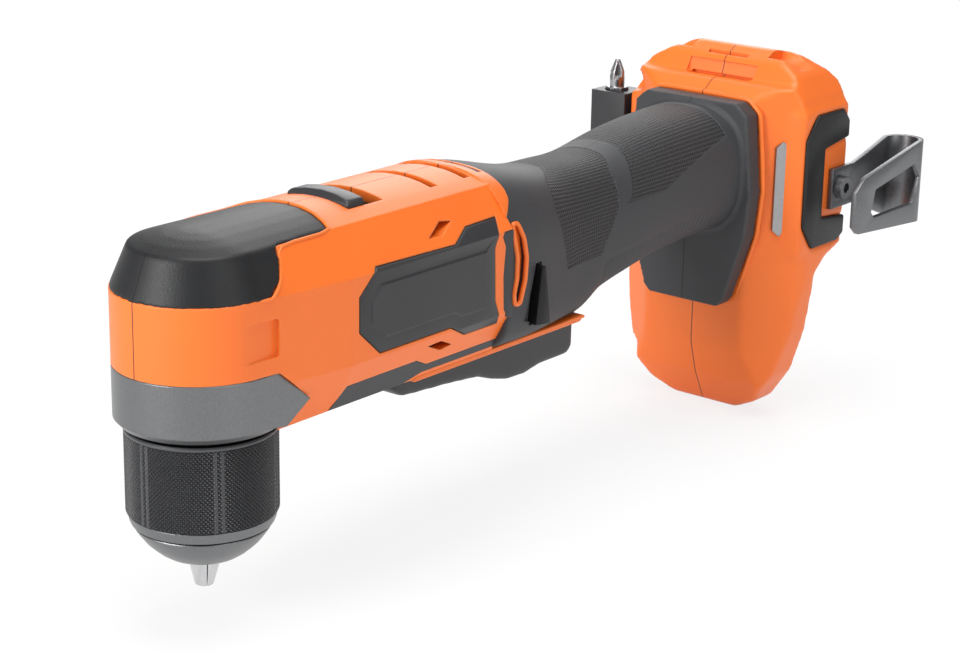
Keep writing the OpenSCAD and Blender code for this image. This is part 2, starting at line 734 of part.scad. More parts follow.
// Bare strips on the sloped corners of the foot
badge_len = 30;
badge_w = 4.4;
module badge_form(c) {
  slant = atan2(13.8, 9);
  translate([foot_x1 - 5.58, foot_hw - 6.44, (boss_z0 + boss_z1) / 2 - 1.2]) rotate([0, 0, slant - 90])
    rotate([90, 0, 0]) translate([0, 0, -0.5]) linear_extrude(1.3 + c) polygon([
      [-badge_w / 2 - c, 2 - badge_len / 2], [0, -badge_len / 2 - c], [badge_w / 2 + c, 2 - badge_len / 2],
      [badge_w / 2 + c, badge_len / 2 - 2], [0, badge_len / 2 + c], [-badge_w / 2 - c, badge_len / 2 - 2]
    ]);
}
module badge_left() color(steel) badge_form(0);
module badge_right() color(steel) mirror([0, 1, 0]) badge_form(0);

// Gear case: the collar round the chuck's neck, with the lower bearing's seat
module gear_case() color(case_grey) difference() {
  union() {
    translate([0, 0, collar_z0]) cylinder(r = gear_case_r, h = collar_h);
    intersection() {
      rotate_extrude() polygon([
        [0, collar_z0], [head_r - 1.4, collar_z0], [head_r, collar_z0 + 1.6],
        [head_r, collar_z1 - 0.1], [0, collar_z1 - 0.1]
      ]);
      across(-big, big) polygon([
        [big, 0], [big, collar_z1], [collar_shoulder_x + 0.1, collar_z1],
        [collar_tip[0] + 0.1, collar_tip[1]],
        [collar_heel_x + 0.1, body_z0 + 0.6], [collar_heel_x + 0.1, 0]
      ]);
    }
    both_sides() across(gear_case_r - 2.6, head_r) polygon([
      [0, collar_z1 - 0.1], [collar_shoulder_x + 0.1, collar_z1 - 0.1], [collar_tip[0] + 0.2, collar_tip[1]],
      [collar_heel_x + 0.1, collar_z0 + 0.6], [0, collar_z0 + 1.6]
    ]);
  }
  translate([0, 0, collar_z0 - 1]) cylinder(r = chuck_r + 0.8, h = chuck_z1 + clear + 1 - collar_z0);
  translate([0, 0, collar_z0]) cylinder(r = spindle_r + 1, h = big);
  translate([0, 0, lower_bearing_z0]) cylinder(r = lower_bearing_r + sliver, h = lower_bearing_h);
  translate([0, 0, lower_bearing_z0 + lower_bearing_h - sliver]) cylinder(r = bevel_r + 1.2, h = big);
  bar(gearbox_x1, -10, gearbox_nose_r + 0.1);
}

// Spindle: from the chuck up through the bevel gear to the upper bearing
module spindle() color(steel) {
  translate([0, 0, spindle_seat_z + 0.2]) cylinder(r = spindle_seat_r - 0.02, h = collar_z0 - spindle_seat_z);
  translate([0, 0, chuck_z1 + 0.05]) cylinder(r = spindle_r, h = gear_hub_z0 - chuck_z1 - 0.05);
  translate([0, 0, gear_hub_z0 - sliver]) cylinder(r = gear_seat_r, h = bevel_gear_z + 2.4 - gear_hub_z0);
  translate([0, 0, bevel_gear_z])
    cylinder(r = spindle_top_r, h = upper_bearing_z0 + upper_bearing_h - bevel_gear_z);
}
module ring_bearing(r, bore, h) color(steel) difference() {
  cylinder(r = r, h = h);
  translate([0, 0, -1]) cylinder(r = bore, h = h + 2);
}
module spindle_bearing_lower() translate([0, 0, lower_bearing_z0])
  ring_bearing(lower_bearing_r, spindle_r + run_fit, lower_bearing_h);
module spindle_bearing_upper() translate([0, 0, upper_bearing_z0])
  ring_bearing(upper_bearing_r, spindle_top_r + run_fit, upper_bearing_h);

// Involute teeth: half the angle of a tooth at radius r, with its flank thinned by the backlash
function involute(r, rb) = let (a = acos(min(1, rb / r))) tan(a) * 180 / PI - a;
function tooth_half(n, rp, r, back) = let (rb = rp * cos(pressure))
  90 / n - back / 2 / rp * 180 / PI + involute(rp, rb) - involute(max(r, rb), rb);
function gear_points(n, m, add, ded, back, turn) = let (
  rp = n * m / 2,
  rows = [rp - ded * m, max(rp * cos(pressure), rp - 0.5 * m), rp, rp + 0.45 * m, rp + add * m]
) [for (k = [0 : n - 1], q = [0 : 9]) let (
  r = q < 5 ? rows[q] : rows[9 - q],
  a = (q < 5 ? -1 : 1) * tooth_half(n, rp, r, back) + 360 * k / n + turn
) r * [cos(a), sin(a)]];

// Bevel teeth: the same profile laid on the back cone and drawn in towards the apex
function bevel_loop(n, cone, m, shrink, deep, turn) = let (
  r0 = n * m / 2,
  rv = r0 / cos(cone),
  rows = [rv - 1.15 * m, rv, rv + 0.9 * m]
) [for (k = [0 : n - 1], q = [0 : 5]) let (
  r = q < 3 ? rows[q] : rows[5 - q],
  a = (q < 3 ? -1 : 1) * tooth_half(n / cos(cone), rv, r, bevel_back) / cos(cone) + 360 * k / n + turn,
  u = deep ? rows[0] - 0.7 * m : r,
  rho = u * cos(cone),
  h = r0 / tan(cone) - (u - rv) * sin(cone)
) shrink * [rho * cos(a), rho * sin(a), -h]];
function circle_loop(n, cone, turn, r, z) = [for (p = bevel_loop(n, cone, bevel_m, 1, true, turn)) let (
  a = atan2(p[1], p[0])
) [r * cos(a), r * sin(a), z]];
bevel_reach = bevel_m * sqrt(pow(pinion_teeth, 2) + pow(bevel_teeth, 2)) / 2;
bevel_inner = (bevel_reach - bevel_face) / bevel_reach;
module bevel(n, cone, turn, bore, hub_r, hub_z) {
  c = 6 * n;
  root_z = -bevel_m * n / 2 / tan(cone) - 1.15 * bevel_m * sin(cone);
  polyhedron(
    points = concat(
      bevel_loop(n, cone, bevel_m, 1, false, turn), bevel_loop(n, cone, bevel_m, bevel_inner, false, turn),
      circle_loop(n, cone, turn, bore, root_z * bevel_inner), circle_loop(n, cone, turn, bore, hub_z),
      circle_loop(n, cone, turn, hub_r, hub_z)
    ),
    faces = [for (s = [0 : 4], i = [0 : c - 1]) let (a = s * c, b = ((s + 1) % 5) * c, j = (i + 1) % c) each [
      [a + i, b + j, b + i], [a + i, a + j, b + j]
    ]]
  );
}
module bevel_gear() color(steel) translate([0, 0, axis_z])
  bevel(
    bevel_teeth, bevel_cone, 180 / bevel_teeth, gear_seat_r + 0.03, bevel_r - 1.6, gear_hub_z0 + 0.1 - axis_z
  );
pinion_shaft_r = 3.4;
module bevel_pinion() color(steel) translate([0, 0, axis_z]) rotate([0, 90, 0])
  bevel(pinion_teeth, 90 - bevel_cone, 0, pinion_shaft_r + 0.03, pinion_r - 1.2, -bevel_r - 1.4);
module pinion_bearing() translate([pinion_bearing_x - pinion_bearing_len, 0, axis_z]) rotate([0, 90, 0])
  ring_bearing(9, pinion_shaft_r + run_fit, pinion_bearing_len);

// Gear box: a cup round the planet gears, with the pinion's bearing in its nose
module gearbox_case() color(case_grey) difference() {
  union() {
    bar(motor_plate_x1, gearbox_x1 + 3, gearbox_r);
    bar(gearbox_x1, pinion_bearing_x + 0.5, gearbox_nose_r);
  }
  bar(motor_plate_x1 - 1, gearbox_x1, gearbox_in_r);
  bar(gearbox_x1 - 1, pinion_bearing_x + 1, 4.6);
  bar(pinion_bearing_x - pinion_bearing_len, pinion_bearing_x + 1, 9 + sliver);
  block(
    ring_groove_x - speed_travel - 1.6, ring_groove_x + 1.6, -1.6, 1.6, axis_z + gearbox_in_r - 3, big
  );
}
module planet_carrier() color(steel) {
  bar(carrier_x1 - carrier_t, carrier_x1, carrier_r + 3.6);
  bar(carrier_x1 - 1, -bevel_r * bevel_inner - 0.6, pinion_shaft_r);
  for (k = [0 : 2]) rotate_on_axis(120 * k)
    translate([0, 0, carrier_r]) bar(planet_x0 + 0.5, carrier_x1 - 1, planet_pin_r);
}
module rotate_on_axis(a) translate([0, 0, axis_z]) rotate([a, 0, 0]) translate([0, 0, -axis_z]) children();
module spur(x0, x1, n, turn, bore) translate([x0, 0, axis_z]) rotate([90, 0, 90]) linear_extrude(x1 - x0)
  difference() {
    polygon(gear_points(n, planet_m, 0.85, 1.1, planet_back, turn));
    circle(r = bore);
  }
module planet_gear(k) color(steel) rotate_on_axis(120 * k) translate([0, 0, carrier_r])
  spur(planet_x0, planet_x1, planet_teeth, 90, planet_pin_r + run_fit);
module planet_gear_1() planet_gear(0);
module planet_gear_2() planet_gear(1);
module planet_gear_3() planet_gear(2);
module sun_gear() color(steel) spur(planet_x0 - 0.5, planet_x1 - 0.4, sun_teeth, 90, sun_bore_r);
sun_bore_r = 2;

// Shift ring: the inner-toothed ring that the speed knob slides
module shift_ring() color(steel) difference() {
  bar(ring_x1 - ring_len, ring_x1, ring_out_r);
  translate([ring_x1 - ring_len - 1, 0, axis_z]) rotate([90, 0, 90]) linear_extrude(ring_len + 2)
    polygon(gear_points(ring_teeth, planet_m, 1.1, 0.85, -planet_back, 90));
  tube(ring_groove_x - 1.5, ring_groove_x + 1.5, ring_out_r + 1, ring_out_r - 1.2);
}
module shift_fork() color(steel) {
  block(fork_x0, ring_groove_x + 2, -fork_hw, fork_hw, fork_z0, fork_z0 + fork_t);
  translate([ring_groove_x, 0, axis_z + ring_out_r - 1.1])
    cylinder(r = 1.2, h = fork_z0 + fork_t / 2 - axis_z - ring_out_r + 1.1);
}
module speed_knob() color(rubber_black) difference() {
  along(speed_x0, speed_x1) polygon([
    [knob_hw, fork_z0 + fork_t], [knob_hw, knob_top(knob_hw) - 0.8], [knob_hw - 1, knob_top(knob_hw - 1)],
    [knob_hw / 2, knob_top(knob_hw / 2)], [0, knob_top(0)], [-knob_hw / 2, knob_top(knob_hw / 2)],
    [1 - knob_hw, knob_top(knob_hw - 1)], [-knob_hw, knob_top(knob_hw) - 0.8], [-knob_hw, fork_z0 + fork_t]
  ]);
  across(-big, big) polygon([[speed_x1 + 1, top_z - 1.4], [speed_x1 + 1, top_z + 3], [speed_x1 - 3, top_z + 3]]);
}
function knob_top(y) = top_z + knob_rise - crown_h * pow(y / top_hw, 2);

// Motor: plate, rotor, fan, bearings, stator and windings
module motor_plate() color(case_grey)
  tube(motor_plate_x0, motor_plate_x1, gearbox_r, motor_bearing_r + sliver);
module rotor_bearing(x0, x1) translate([x0, 0, axis_z]) rotate([0, 90, 0])
  ring_bearing(motor_bearing_r, shaft_d / 2 + run_fit, x1 - x0);
module rotor_bearing_front() rotor_bearing(motor_plate_x0, motor_plate_x1);
module rotor_bearing_rear() rotor_bearing(rear_bearing_x0, rear_bearing_x1);
module rotor() color(steel) {
  bar(rear_bearing_x0, motor_plate_x1, shaft_d / 2);
  bar(motor_plate_x1 - sliver, planet_x1 - 0.4, sun_bore_r - 0.02);
  bar(stator_x0 + 1, stator_x1 - 1, rotor_d / 2);
}
module fan() color(rubber_black) difference() {
  union() {
    bar(fan_x1 - 1.6, fan_x1, fan_d / 2);
    bar(fan_x0, fan_x1, 5);
    for (k = [0 : 10]) rotate_on_axis(k * 360 / 11)
      block(fan_x0, fan_x1 - 1, -0.6, 0.6, axis_z + 7, axis_z + fan_d / 2 - 0.4);
  }
  bar(fan_x0 - 1, fan_x1 + 1, shaft_d / 2 + 0.02);
}
stator_teeth = 6;
tooth_w = 5;
tooth_tip_r = rotor_d / 2 + 0.6;
slot_depth = stator_d / 2 - tooth_tip_r;
yoke_t = slot_depth * 0.4324;
slot_gap = slot_depth * 0.075;
winding_hw = tooth_w / 2 + 1.3;
winding_r = sqrt(pow(stator_d / 2 - yoke_t, 2) - pow(winding_hw, 2)) - 0.06;
module stator() color(case_grey) difference() {
  union() {
    tube(stator_x0, stator_x1, stator_d / 2, stator_d / 2 - yoke_t);
    for (k = [0 : stator_teeth - 1]) rotate_on_axis(k * 360 / stator_teeth)
      block(
        stator_x0, stator_x1, -tooth_w / 2, tooth_w / 2,
        axis_z + tooth_tip_r - 1, axis_z + stator_d / 2 - 1
      );
  }
  bar(stator_x0 - 1, stator_x1 + 1, tooth_tip_r);
}
module windings() color(copper) for (k = [0 : stator_teeth - 1]) rotate_on_axis(k * 360 / stator_teeth)
  difference() {
    block(
      stator_x0 - winding_out, stator_x1 + winding_out, -winding_hw, winding_hw,
      axis_z + tooth_tip_r + slot_gap, axis_z + winding_r
    );
    block(stator_x0 - 0.05, stator_x1 + 0.05, -tooth_w / 2 - 0.05, tooth_w / 2 + 0.05, 0, big);
  }

// Chuck body with three slanted jaw bores, its nose ring, sleeve and nut
module jaw_line(k, r, from, to) rotate([0, 0, 120 * k]) translate([jaw_axis_r, 0, 0])
  rotate([0, jaw_tilt, 0]) translate([0, 0, from]) cylinder(r = r, h = to - from);
module chuck_body() color(steel) difference() {
  rotate_extrude() polygon([
    [0, nose_z0], [nose_bore_r, nose_z0], [nose_bore_r, nose_z1], [chuck_r - 1.6, nose_z1],
    [chuck_r - 1.6, nut_z0 - 0.2], [nut_floor_r, nut_z0 - 0.2], [nut_floor_r, nut_z1 + 0.2],
    [chuck_r, nut_z1 + 0.2], [chuck_r, chuck_z1], [0, chuck_z1]
  ]);
  for (k = [0 : 2]) jaw_line(k, jaw_r + run_fit, 0, jaw_len + jaw_travel + 1);
  cylinder(r = shank_r, h = spindle_seat_z - 3);
  translate([0, 0, spindle_seat_z]) cylinder(r = spindle_seat_r, h = big);
}
module chuck_nose() color(case_grey) rotate_extrude() polygon([
  [nose_bore_r + 0.02, nose_z0], [nose_bore_r + 0.8, nose_z0], [nose_bore_r + 2.8, nose_z0 + 1.4],
  [nose_bore_r + 4.6, nose_z0 + 3], [sleeve_d / 2 - 3.6, nose_z0 + 5.4], [sleeve_d / 2 - 2.2, nose_z0 + 7.4],
  [sleeve_d / 2 - 1.8, nose_z1 - 0.02], [nose_bore_r + 0.02, nose_z1 - 0.02]
]);
module chuck_sleeve() color(rubber_black) rotate_extrude() polygon([
  [sleeve_in_r, sleeve_z0], [sleeve_d / 2 - 1.3, sleeve_z0], [sleeve_d / 2 - 0.5, sleeve_z0 + 3.4],
  [sleeve_d / 2, sleeve_z1 - 1], [sleeve_d / 2 - 0.6, sleeve_z1], [sleeve_in_r, sleeve_z1]
]);
function nut_bore(z) = jaw_tip_d / 2 + z * jaw_lean + 0.15;
module chuck_nut() color(steel) rotate_extrude() polygon([
  [nut_bore(nut_z0), nut_z0], [sleeve_in_r - 0.02, nut_z0],
  [sleeve_in_r - 0.02, nut_z1], [nut_bore(nut_z1), nut_z1]
]);
module jaw(k) color(steel) difference() {
  intersection() {
    jaw_line(k, jaw_r, -5, jaw_len);
    rotate([0, 0, 120 * k]) linear_extrude(big) polygon([
      [jaw_gap / sin(60), 0], [30, 30 * tan(60) - jaw_gap * 2], [30, jaw_gap * 2 - 30 * tan(60)]
    ]);
  }
  translate([0, 0, -1]) cylinder(r = jaw_groove_d / 2, h = big);
}
module jaw_1() jaw(0);
module jaw_2() jaw(1);
module jaw_3() jaw(2);

// Trigger paddle on its pin, with its spring, the switch and its plunger
trigger_pin_x = trigger_x1 - 6;
trigger_pin_z = body_z0 + 3.8;
pin_hl = low_hw - 2.6;
trigger_top_z = body_z0 + 1;
spring_hw = 4;
module trigger() color(rubber_black) difference() {
  union() {
    across(-trigger_hw, trigger_hw) polygon([
      [trigger_x1, trigger_top_z - 1], [trigger_x1 - 1, body_z0 - 4], [trigger_x1 - 4, body_z0 - 6.2],
      [trigger_x1 - 24, body_z0 - 7.6], [trigger_x1 - 36, body_z0 - 8.8], [trigger_x1 - 42, body_z0 - 11],
      [trigger_x1 - 49, body_z0 - 12.8], [trigger_x1 - 56, body_z0 - 13], [trigger_x1 - 63, body_z0 - 11.8],
      [trigger_x0 + 2, body_z0 - 11.8], [trigger_x0, body_z0 - 10], [trigger_x0, trigger_top_z],
      [trigger_x1 - 2, trigger_top_z]
    ]);
    both_sides() trigger_ear();
  }
  crossbar(trigger_pin_x, trigger_pin_z, trigger_pin_d / 2 + run_fit, -big, big);
}
module trigger_ear() {
  crossbar(trigger_pin_x, trigger_pin_z, 3, spring_hw + 0.4, trigger_hw);
  block(trigger_pin_x - 3, trigger_pin_x + 3, spring_hw + 0.4, trigger_hw, trigger_top_z - 1, trigger_pin_z);
}
module trigger_pin() color(steel) crossbar(trigger_pin_x, trigger_pin_z, trigger_pin_d / 2, -pin_hl, pin_hl);
module trigger_spring() color(steel) translate([trigger_pin_x, 0, trigger_pin_z]) rotate([90, 0, 0])
  translate([0, 0, -spring_hw]) difference() {
    cylinder(r = trigger_pin_d / 2 + 0.7, h = 2 * spring_hw);
    translate([0, 0, -1]) cylinder(r = trigger_pin_d / 2 + 0.02, h = 2 * spring_hw + 2);
  }
switch_x1 = direction_x - 9;
switch_x0 = switch_x1 - 20;
switch_z0 = max(bay_z1, body_z0 + grip_t + core_t) + 0.4;
switch_z1 = switch_z0 + 15;
plunger_x = (switch_x0 + switch_x1) / 2;
switch_hw = 10.5;
plunger_travel = (trigger_pin_x - plunger_x) * trigger_deg * PI / 180;
module switch_body() color(rubber_black) difference() {
  block(switch_x0, switch_x1, -switch_hw, switch_hw, switch_z0, switch_z1);
  translate([plunger_x, 0, switch_z0 - 1]) cylinder(r = 3 + run_fit, h = plunger_travel + 5);
}
module switch_plunger() color(steel) translate([plunger_x, 0, trigger_top_z + 0.3])
  cylinder(r = 3, h = switch_z0 - trigger_top_z + 2.5);

// Direction bar, pushed through from either side
module direction_bar() color(rubber_black) {
  both_sides() across(15, body_hw + 0.6) polygon(direction_outline(0));
  block(direction_x - 2.2, direction_x + 2.2, -15.5, 15.5, direction_z - 5.4, direction_z - 0.6);
}

// Electronics: control board in the handle, lamp under the head
board_x1 = bay_x0 - 14;
board_x0 = flange_x1 + 13;
board_hw = handle_hw - grip_t - core_t - 0.6;
board_z = axis_z - 3;
module control_board() color(board_green) {
  block(board_x0, board_x1, -board_hw, board_hw, board_z, board_z + 1.6);
  for (k = [0 : 2], s = [-1, 1])
    block(
      board_x0 + 8 + 12 * k, board_x0 + 14 + 12 * k, s * 6 - 3, s * 6 + 3, board_z + 1.6 - sliver, board_z + 5
    );
}
module led_lens() color([0.9, 0.9, 0.85]) intersection() {
  lamp_seat(0);
  block(-big, big, 0.6 - lamp_hw, lamp_hw - 0.6, lamp_z0, lamp_z0 + 1);
  difference() {
    block(-big, 0, -big, big, -big, big);
    cylinder(r = sleeve_d / 2 + 1.2, h = big);
  }
}
module led_board() color(board_green) intersection() {
  lamp_seat(0);
  block(-big, big, -lamp_hw, lamp_hw, lamp_z0 + 1, lamp_z0 + 2);
  difference() {
    block(-big, 0, -big, big, -big, big);
    cylinder(r = sleeve_d / 2 + 1.2, h = big);
  }
}

// Battery bay: contact plate and its blades
plate_z0 = boss_z0 + 1;
module bay_plate() color(rubber_black) difference() {
  intersection() {
    block(bay_x1 - plate_bay_t, bay_x1, -foot_hw, foot_hw, plate_z0, bay_z2 - 0.1);
    along(-big, 0) polygon(foot_front(foot_wall + 0.7));
  }
  for (k = [-1.5 : 1.5]) block(-big, big, 6 * k - 0.45, 6 * k + 0.45, blade_z - 4.05, blade_z + 4.05);
}
blade_z = top_z - 22;
module terminals() color(steel) for (k = [-1.5 : 1.5])
  block(bay_x1 - plate_bay_t - 9, bay_x1 + 2, 6 * k - 0.4, 6 * k + 0.4, blade_z - 4, blade_z + 4);

// Belt clip: a strip bent back on itself, held by one screw at the side boss
hook_x = foot_x0 + 6;
hook_screw_r = 2;
clip_y0 = pad_y + 0.05;
clip_y1 = clip_y0 + clip_t + clip_gap;
clip_x0 = foot_x0 - clip_reach + 6;
clip_front_x = foot_x0 + 17;
clip_bend_r = clip_gap / 2;
module belt_clip() color(steel) difference() {
  intersection() {
    union() {
      block(clip_x0, hook_x + 5, clip_y0, clip_y0 + clip_t, -big, big);
      block(clip_x0, clip_front_x, clip_y1, clip_y1 + clip_t, -big, big);
      intersection() {
        translate([clip_x0, clip_y0 + clip_t + clip_bend_r, -big]) difference() {
          cylinder(r = clip_bend_r + clip_t, h = 2 * big);
          cylinder(r = clip_bend_r, h = 2 * big);
        }
        block(-big, clip_x0 + sliver, -big, big, -big, big);
      }
    }
    union() {
      across(clip_y0 + clip_t + 1, big) polygon([
        [clip_front_x, hook_z - 9], [clip_front_x, hook_z + 2], [clip_front_x - 5, hook_z + 5.6],
        [clip_x0, hook_z + 11.6], [clip_x0 - 20, hook_z + 11.6], [clip_x0 - 20, hook_z - 16],
        [clip_x0, hook_z - 14.6], [clip_front_x - 3, hook_z - 11.6]
      ]);
      across(0, clip_y0 + clip_t + 1) polygon([
        [hook_x + 5, hook_z - 6.4], [hook_x + 5, hook_z + 6.4], [foot_x0 - 2, hook_z + 6.4],
        [foot_x0 - 9, hook_z + 8], [clip_x0, hook_z + 11.6], [clip_x0 - 20, hook_z + 11.6],
        [clip_x0 - 20, hook_z - 16], [clip_x0, hook_z - 14], [foot_x0 - 9, hook_z - 9],
        [foot_x0 - 2, hook_z - 6.4]
      ]);
    }
  }
  across(clip_y1 - 1, big) polygon([
    [clip_front_x - 10, hook_z - 6], [clip_front_x - 12, hook_z + 1], [clip_x0 + 3, hook_z + 5],
    [clip_x0 - 1, hook_z], [clip_x0 + 1, hook_z - 5], [clip_x0 + 3, hook_z - 8], [clip_front_x - 12, hook_z - 8]
  ]);
  crossbar(hook_x, hook_z, hook_screw_r + 0.1, 0, clip_y0 + clip_t + 1);
}
module hook_screw() {
  crossbar(hook_x, hook_z, hook_screw_r, foot_hw - foot_wall - 0.4, clip_y0 + clip_t);
  crossbar(hook_x, hook_z, 3.6, clip_y0 + clip_t, clip_y0 + clip_t + 2.2);
}
module clip_screw() color(steel) difference() {
  hook_screw();
  crossbar(hook_x, hook_z, 1.6, clip_y0 + clip_t + 0.9, big);
}

// Bit holder on the other side, with one driver bit standing in it
holder_y = 14.6;
holder_x1 = foot_x0 + 27;
holder_z0 = hook_z - 8;
holder_z1 = body_z0 + 43;
bit_x = holder_x1 - 5.4;
bit_y = -(pad_y + 8.4);
bit_z1 = holder_z1 + 10;
bit_r = bit_af / sqrt(3);
module bit_holder() color(rubber_black) difference() {
  union() {
    block(holder_x1 - 12, holder_x1, -pad_y - holder_y, -pad_y - 1.4, holder_z0 + 4, holder_z1);
    block(hook_x - 5, holder_x1 - 2, -pad_y - 5, -pad_y - 1.4, holder_z0, holder_z0 + 16);
    block(hook_x - 5, hook_x + 5, -pad_y - 5, -pad_y - 0.05, hook_z - 6, hook_z + 6);
  }
  translate([bit_x, bit_y, bit_z1 - bit_len - 0.2]) cylinder(r = bit_r + 0.15, h = big);
  crossbar(hook_x, hook_z, hook_screw_r + 0.1, -big, 0);
  crossbar(hook_x, hook_z, 3.8, -big, -pad_y - 2.4);
}
module holder_screw() color(steel) difference() {
  union() {
    crossbar(hook_x, hook_z, hook_screw_r, -pad_y - 2.4, -foot_hw + foot_wall + 0.4);
    crossbar(hook_x, hook_z, 3.6, -pad_y - 4.6, -pad_y - 2.4);
  }
  crossbar(hook_x, hook_z, 1.6, -big, -pad_y - 3.6);
}
module driver_bit() color(steel) translate([bit_x, bit_y, bit_z1 - bit_len]) {
  cylinder(r = bit_r, h = bit_len - 9, $fn = 6);
  translate([0, 0, bit_len - 9 - sliver]) cylinder(r = 2.4, h = 5);
  translate([0, 0, bit_len - 4 - sliver]) cylinder(r1 = 2.4, r2 = 0.7, h = 4);
}

// Housing screws, put in from the right
module housing_screws() color(steel) for (p = screw_places) difference() {
  union() {
    crossbar(p[0], p[1], screw_r, -screw_seat_y + screw_head_h - sliver, screw_seat_y);
    crossbar(p[0], p[1], screw_head_r, -screw_seat_y, -screw_seat_y + screw_head_h);
  }
  crossbar(p[0], p[1], 1.4, -screw_seat_y - 1, -screw_seat_y + 1.4);
}

housing_left();
housing_right();
bumper_left();
bumper_right();
grip_left();
grip_right();
side_plate_left();
side_plate_right();
pad_left();
pad_right();
badge_left();
badge_right();
gear_case();
spindle();
spindle_bearing_lower();
spindle_bearing_upper();
bevel_gear();
bevel_pinion();
pinion_bearing();
gearbox_case();
planet_carrier();
planet_gear_1();
planet_gear_2();
planet_gear_3();
shift_ring();
shift_fork();
speed_knob();
motor_plate();
rotor();
sun_gear();
fan();
rotor_bearing_front();
rotor_bearing_rear();
stator();
windings();
chuck_body();
chuck_nose();
chuck_sleeve();
chuck_nut();
jaw_1();
jaw_2();
jaw_3();
trigger();
trigger_pin();
trigger_spring();
switch_body();
switch_plunger();
direction_bar();
control_board();
led_lens();
led_board();
bay_plate();
terminals();
belt_clip();
clip_screw();
bit_holder();
holder_screw();
driver_bit();
housing_screws();
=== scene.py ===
# Cordless right angle drill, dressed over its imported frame: +X to the head, +Y to its left, +Z up, in metres.
import math

import bpy
from mathutils import Matrix, Vector


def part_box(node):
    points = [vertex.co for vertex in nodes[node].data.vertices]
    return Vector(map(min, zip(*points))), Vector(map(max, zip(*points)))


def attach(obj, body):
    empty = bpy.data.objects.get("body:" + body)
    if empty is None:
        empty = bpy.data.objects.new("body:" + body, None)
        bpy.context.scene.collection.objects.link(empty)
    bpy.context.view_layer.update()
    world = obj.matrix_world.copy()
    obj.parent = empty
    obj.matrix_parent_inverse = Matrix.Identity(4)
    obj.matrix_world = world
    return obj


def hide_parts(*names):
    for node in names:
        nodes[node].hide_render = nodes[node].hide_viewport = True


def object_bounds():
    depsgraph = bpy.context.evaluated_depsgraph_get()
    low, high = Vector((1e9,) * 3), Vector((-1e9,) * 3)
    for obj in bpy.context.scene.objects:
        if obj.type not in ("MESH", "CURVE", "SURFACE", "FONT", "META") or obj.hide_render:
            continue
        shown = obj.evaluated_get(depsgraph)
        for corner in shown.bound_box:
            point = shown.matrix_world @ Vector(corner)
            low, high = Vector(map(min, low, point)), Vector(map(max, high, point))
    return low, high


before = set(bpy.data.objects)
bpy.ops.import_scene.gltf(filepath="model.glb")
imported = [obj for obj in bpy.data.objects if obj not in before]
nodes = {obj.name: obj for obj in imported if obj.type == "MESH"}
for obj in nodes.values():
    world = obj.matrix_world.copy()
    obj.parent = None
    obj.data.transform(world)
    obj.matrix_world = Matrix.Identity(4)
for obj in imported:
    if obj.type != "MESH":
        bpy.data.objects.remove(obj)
cad_low, cad_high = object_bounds()


# Studio: the camera stands in front of the head and to its left, at the photograph's viewing angle.
# A plain pale floor lies just under the drill, and four soft lamps and a grey-white room light it.
camera_azimuth = math.radians(38.8595)
camera_elevation = math.radians(17.724)
camera_roll = math.radians(1.0388)
camera_place = Vector((0.3718, 0.3872, 0.2375))
focal_pixels = 2300.0
image_width = 960
sensor_mm = 36.0
back = Vector((
    math.cos(camera_azimuth) * math.cos(camera_elevation),
    math.sin(camera_azimuth) * math.cos(camera_elevation),
    math.sin(camera_elevation),
))
level_right = Vector((-math.sin(camera_azimuth), math.cos(camera_azimuth), 0.0))
level_up = back.cross(level_right)
right = math.cos(camera_roll) * level_right + math.sin(camera_roll) * level_up
up = math.cos(camera_roll) * level_up - math.sin(camera_roll) * level_right
bpy.ops.object.camera_add()
camera = bpy.context.object
camera.name = "photo_camera"
camera.matrix_world = Matrix((
    (right.x, up.x, back.x, camera_place.x),
    (right.y, up.y, back.y, camera_place.y),
    (right.z, up.z, back.z, camera_place.z),
    (0.0, 0.0, 0.0, 1.0),
))
camera.data.sensor_width = sensor_mm
camera.data.lens = focal_pixels / image_width * sensor_mm
camera.data.clip_start = 0.01
bpy.context.scene.camera = camera
bpy.context.scene.view_settings.view_transform = "Standard"

floor_drop = 0.0004
bpy.ops.mesh.primitive_plane_add(size=12.0, location=(0.0, 0.0, cad_low.z - floor_drop))
floor = bpy.context.object
floor.name = "studio_floor"


def calc(tree, operation, first, second=None):
    node = tree.nodes.new("ShaderNodeMath")
    node.operation = operation
    for socket, value in zip(node.inputs, (first, second)):
        if isinstance(value, float):
            socket.default_value = value
        elif value is not None:
            tree.links.new(value, socket)
    return node.outputs[0]


floor_paper = bpy.data.materials.new("floor_paper")
floor_paper.use_nodes = True
paper_tree = floor_paper.node_tree
paper_tree.nodes.clear()
paper_out = paper_tree.nodes.new("ShaderNodeOutputMaterial")
paper_mix = paper_tree.nodes.new("ShaderNodeMixShader")
paper_matt = paper_tree.nodes.new("ShaderNodeBsdfDiffuse")
paper_matt.inputs["Color"].default_value = (0.86, 0.86, 0.86, 1.0)
paper_glow = paper_tree.nodes.new("ShaderNodeEmission")
paper_glow.inputs["Color"].default_value = (1.0, 1.0, 1.0, 1.0)
paper_ray = paper_tree.nodes.new("ShaderNodeLightPath")
glow_share = 0.8
seen = calc(paper_tree, "MAXIMUM", paper_ray.outputs["Is Camera Ray"], paper_ray.outputs["Is Glossy Ray"])
paper_tree.links.new(calc(paper_tree, "MULTIPLY", seen, glow_share), paper_mix.inputs["Fac"])
paper_tree.links.new(paper_matt.outputs[0], paper_mix.inputs[1])
paper_tree.links.new(paper_glow.outputs[0], paper_mix.inputs[2])
paper_tree.links.new(paper_mix.outputs[0], paper_out.inputs["Surface"])
floor.data.materials.append(floor_paper)

room = bpy.data.worlds.new("studio_room")
room.use_nodes = True
room_light = room.node_tree.nodes["Background"]
room_light.inputs["Color"].default_value = (1.0, 1.0, 1.0, 1.0)
room_light.inputs["Strength"].default_value = 0.3
bpy.context.scene.world = room


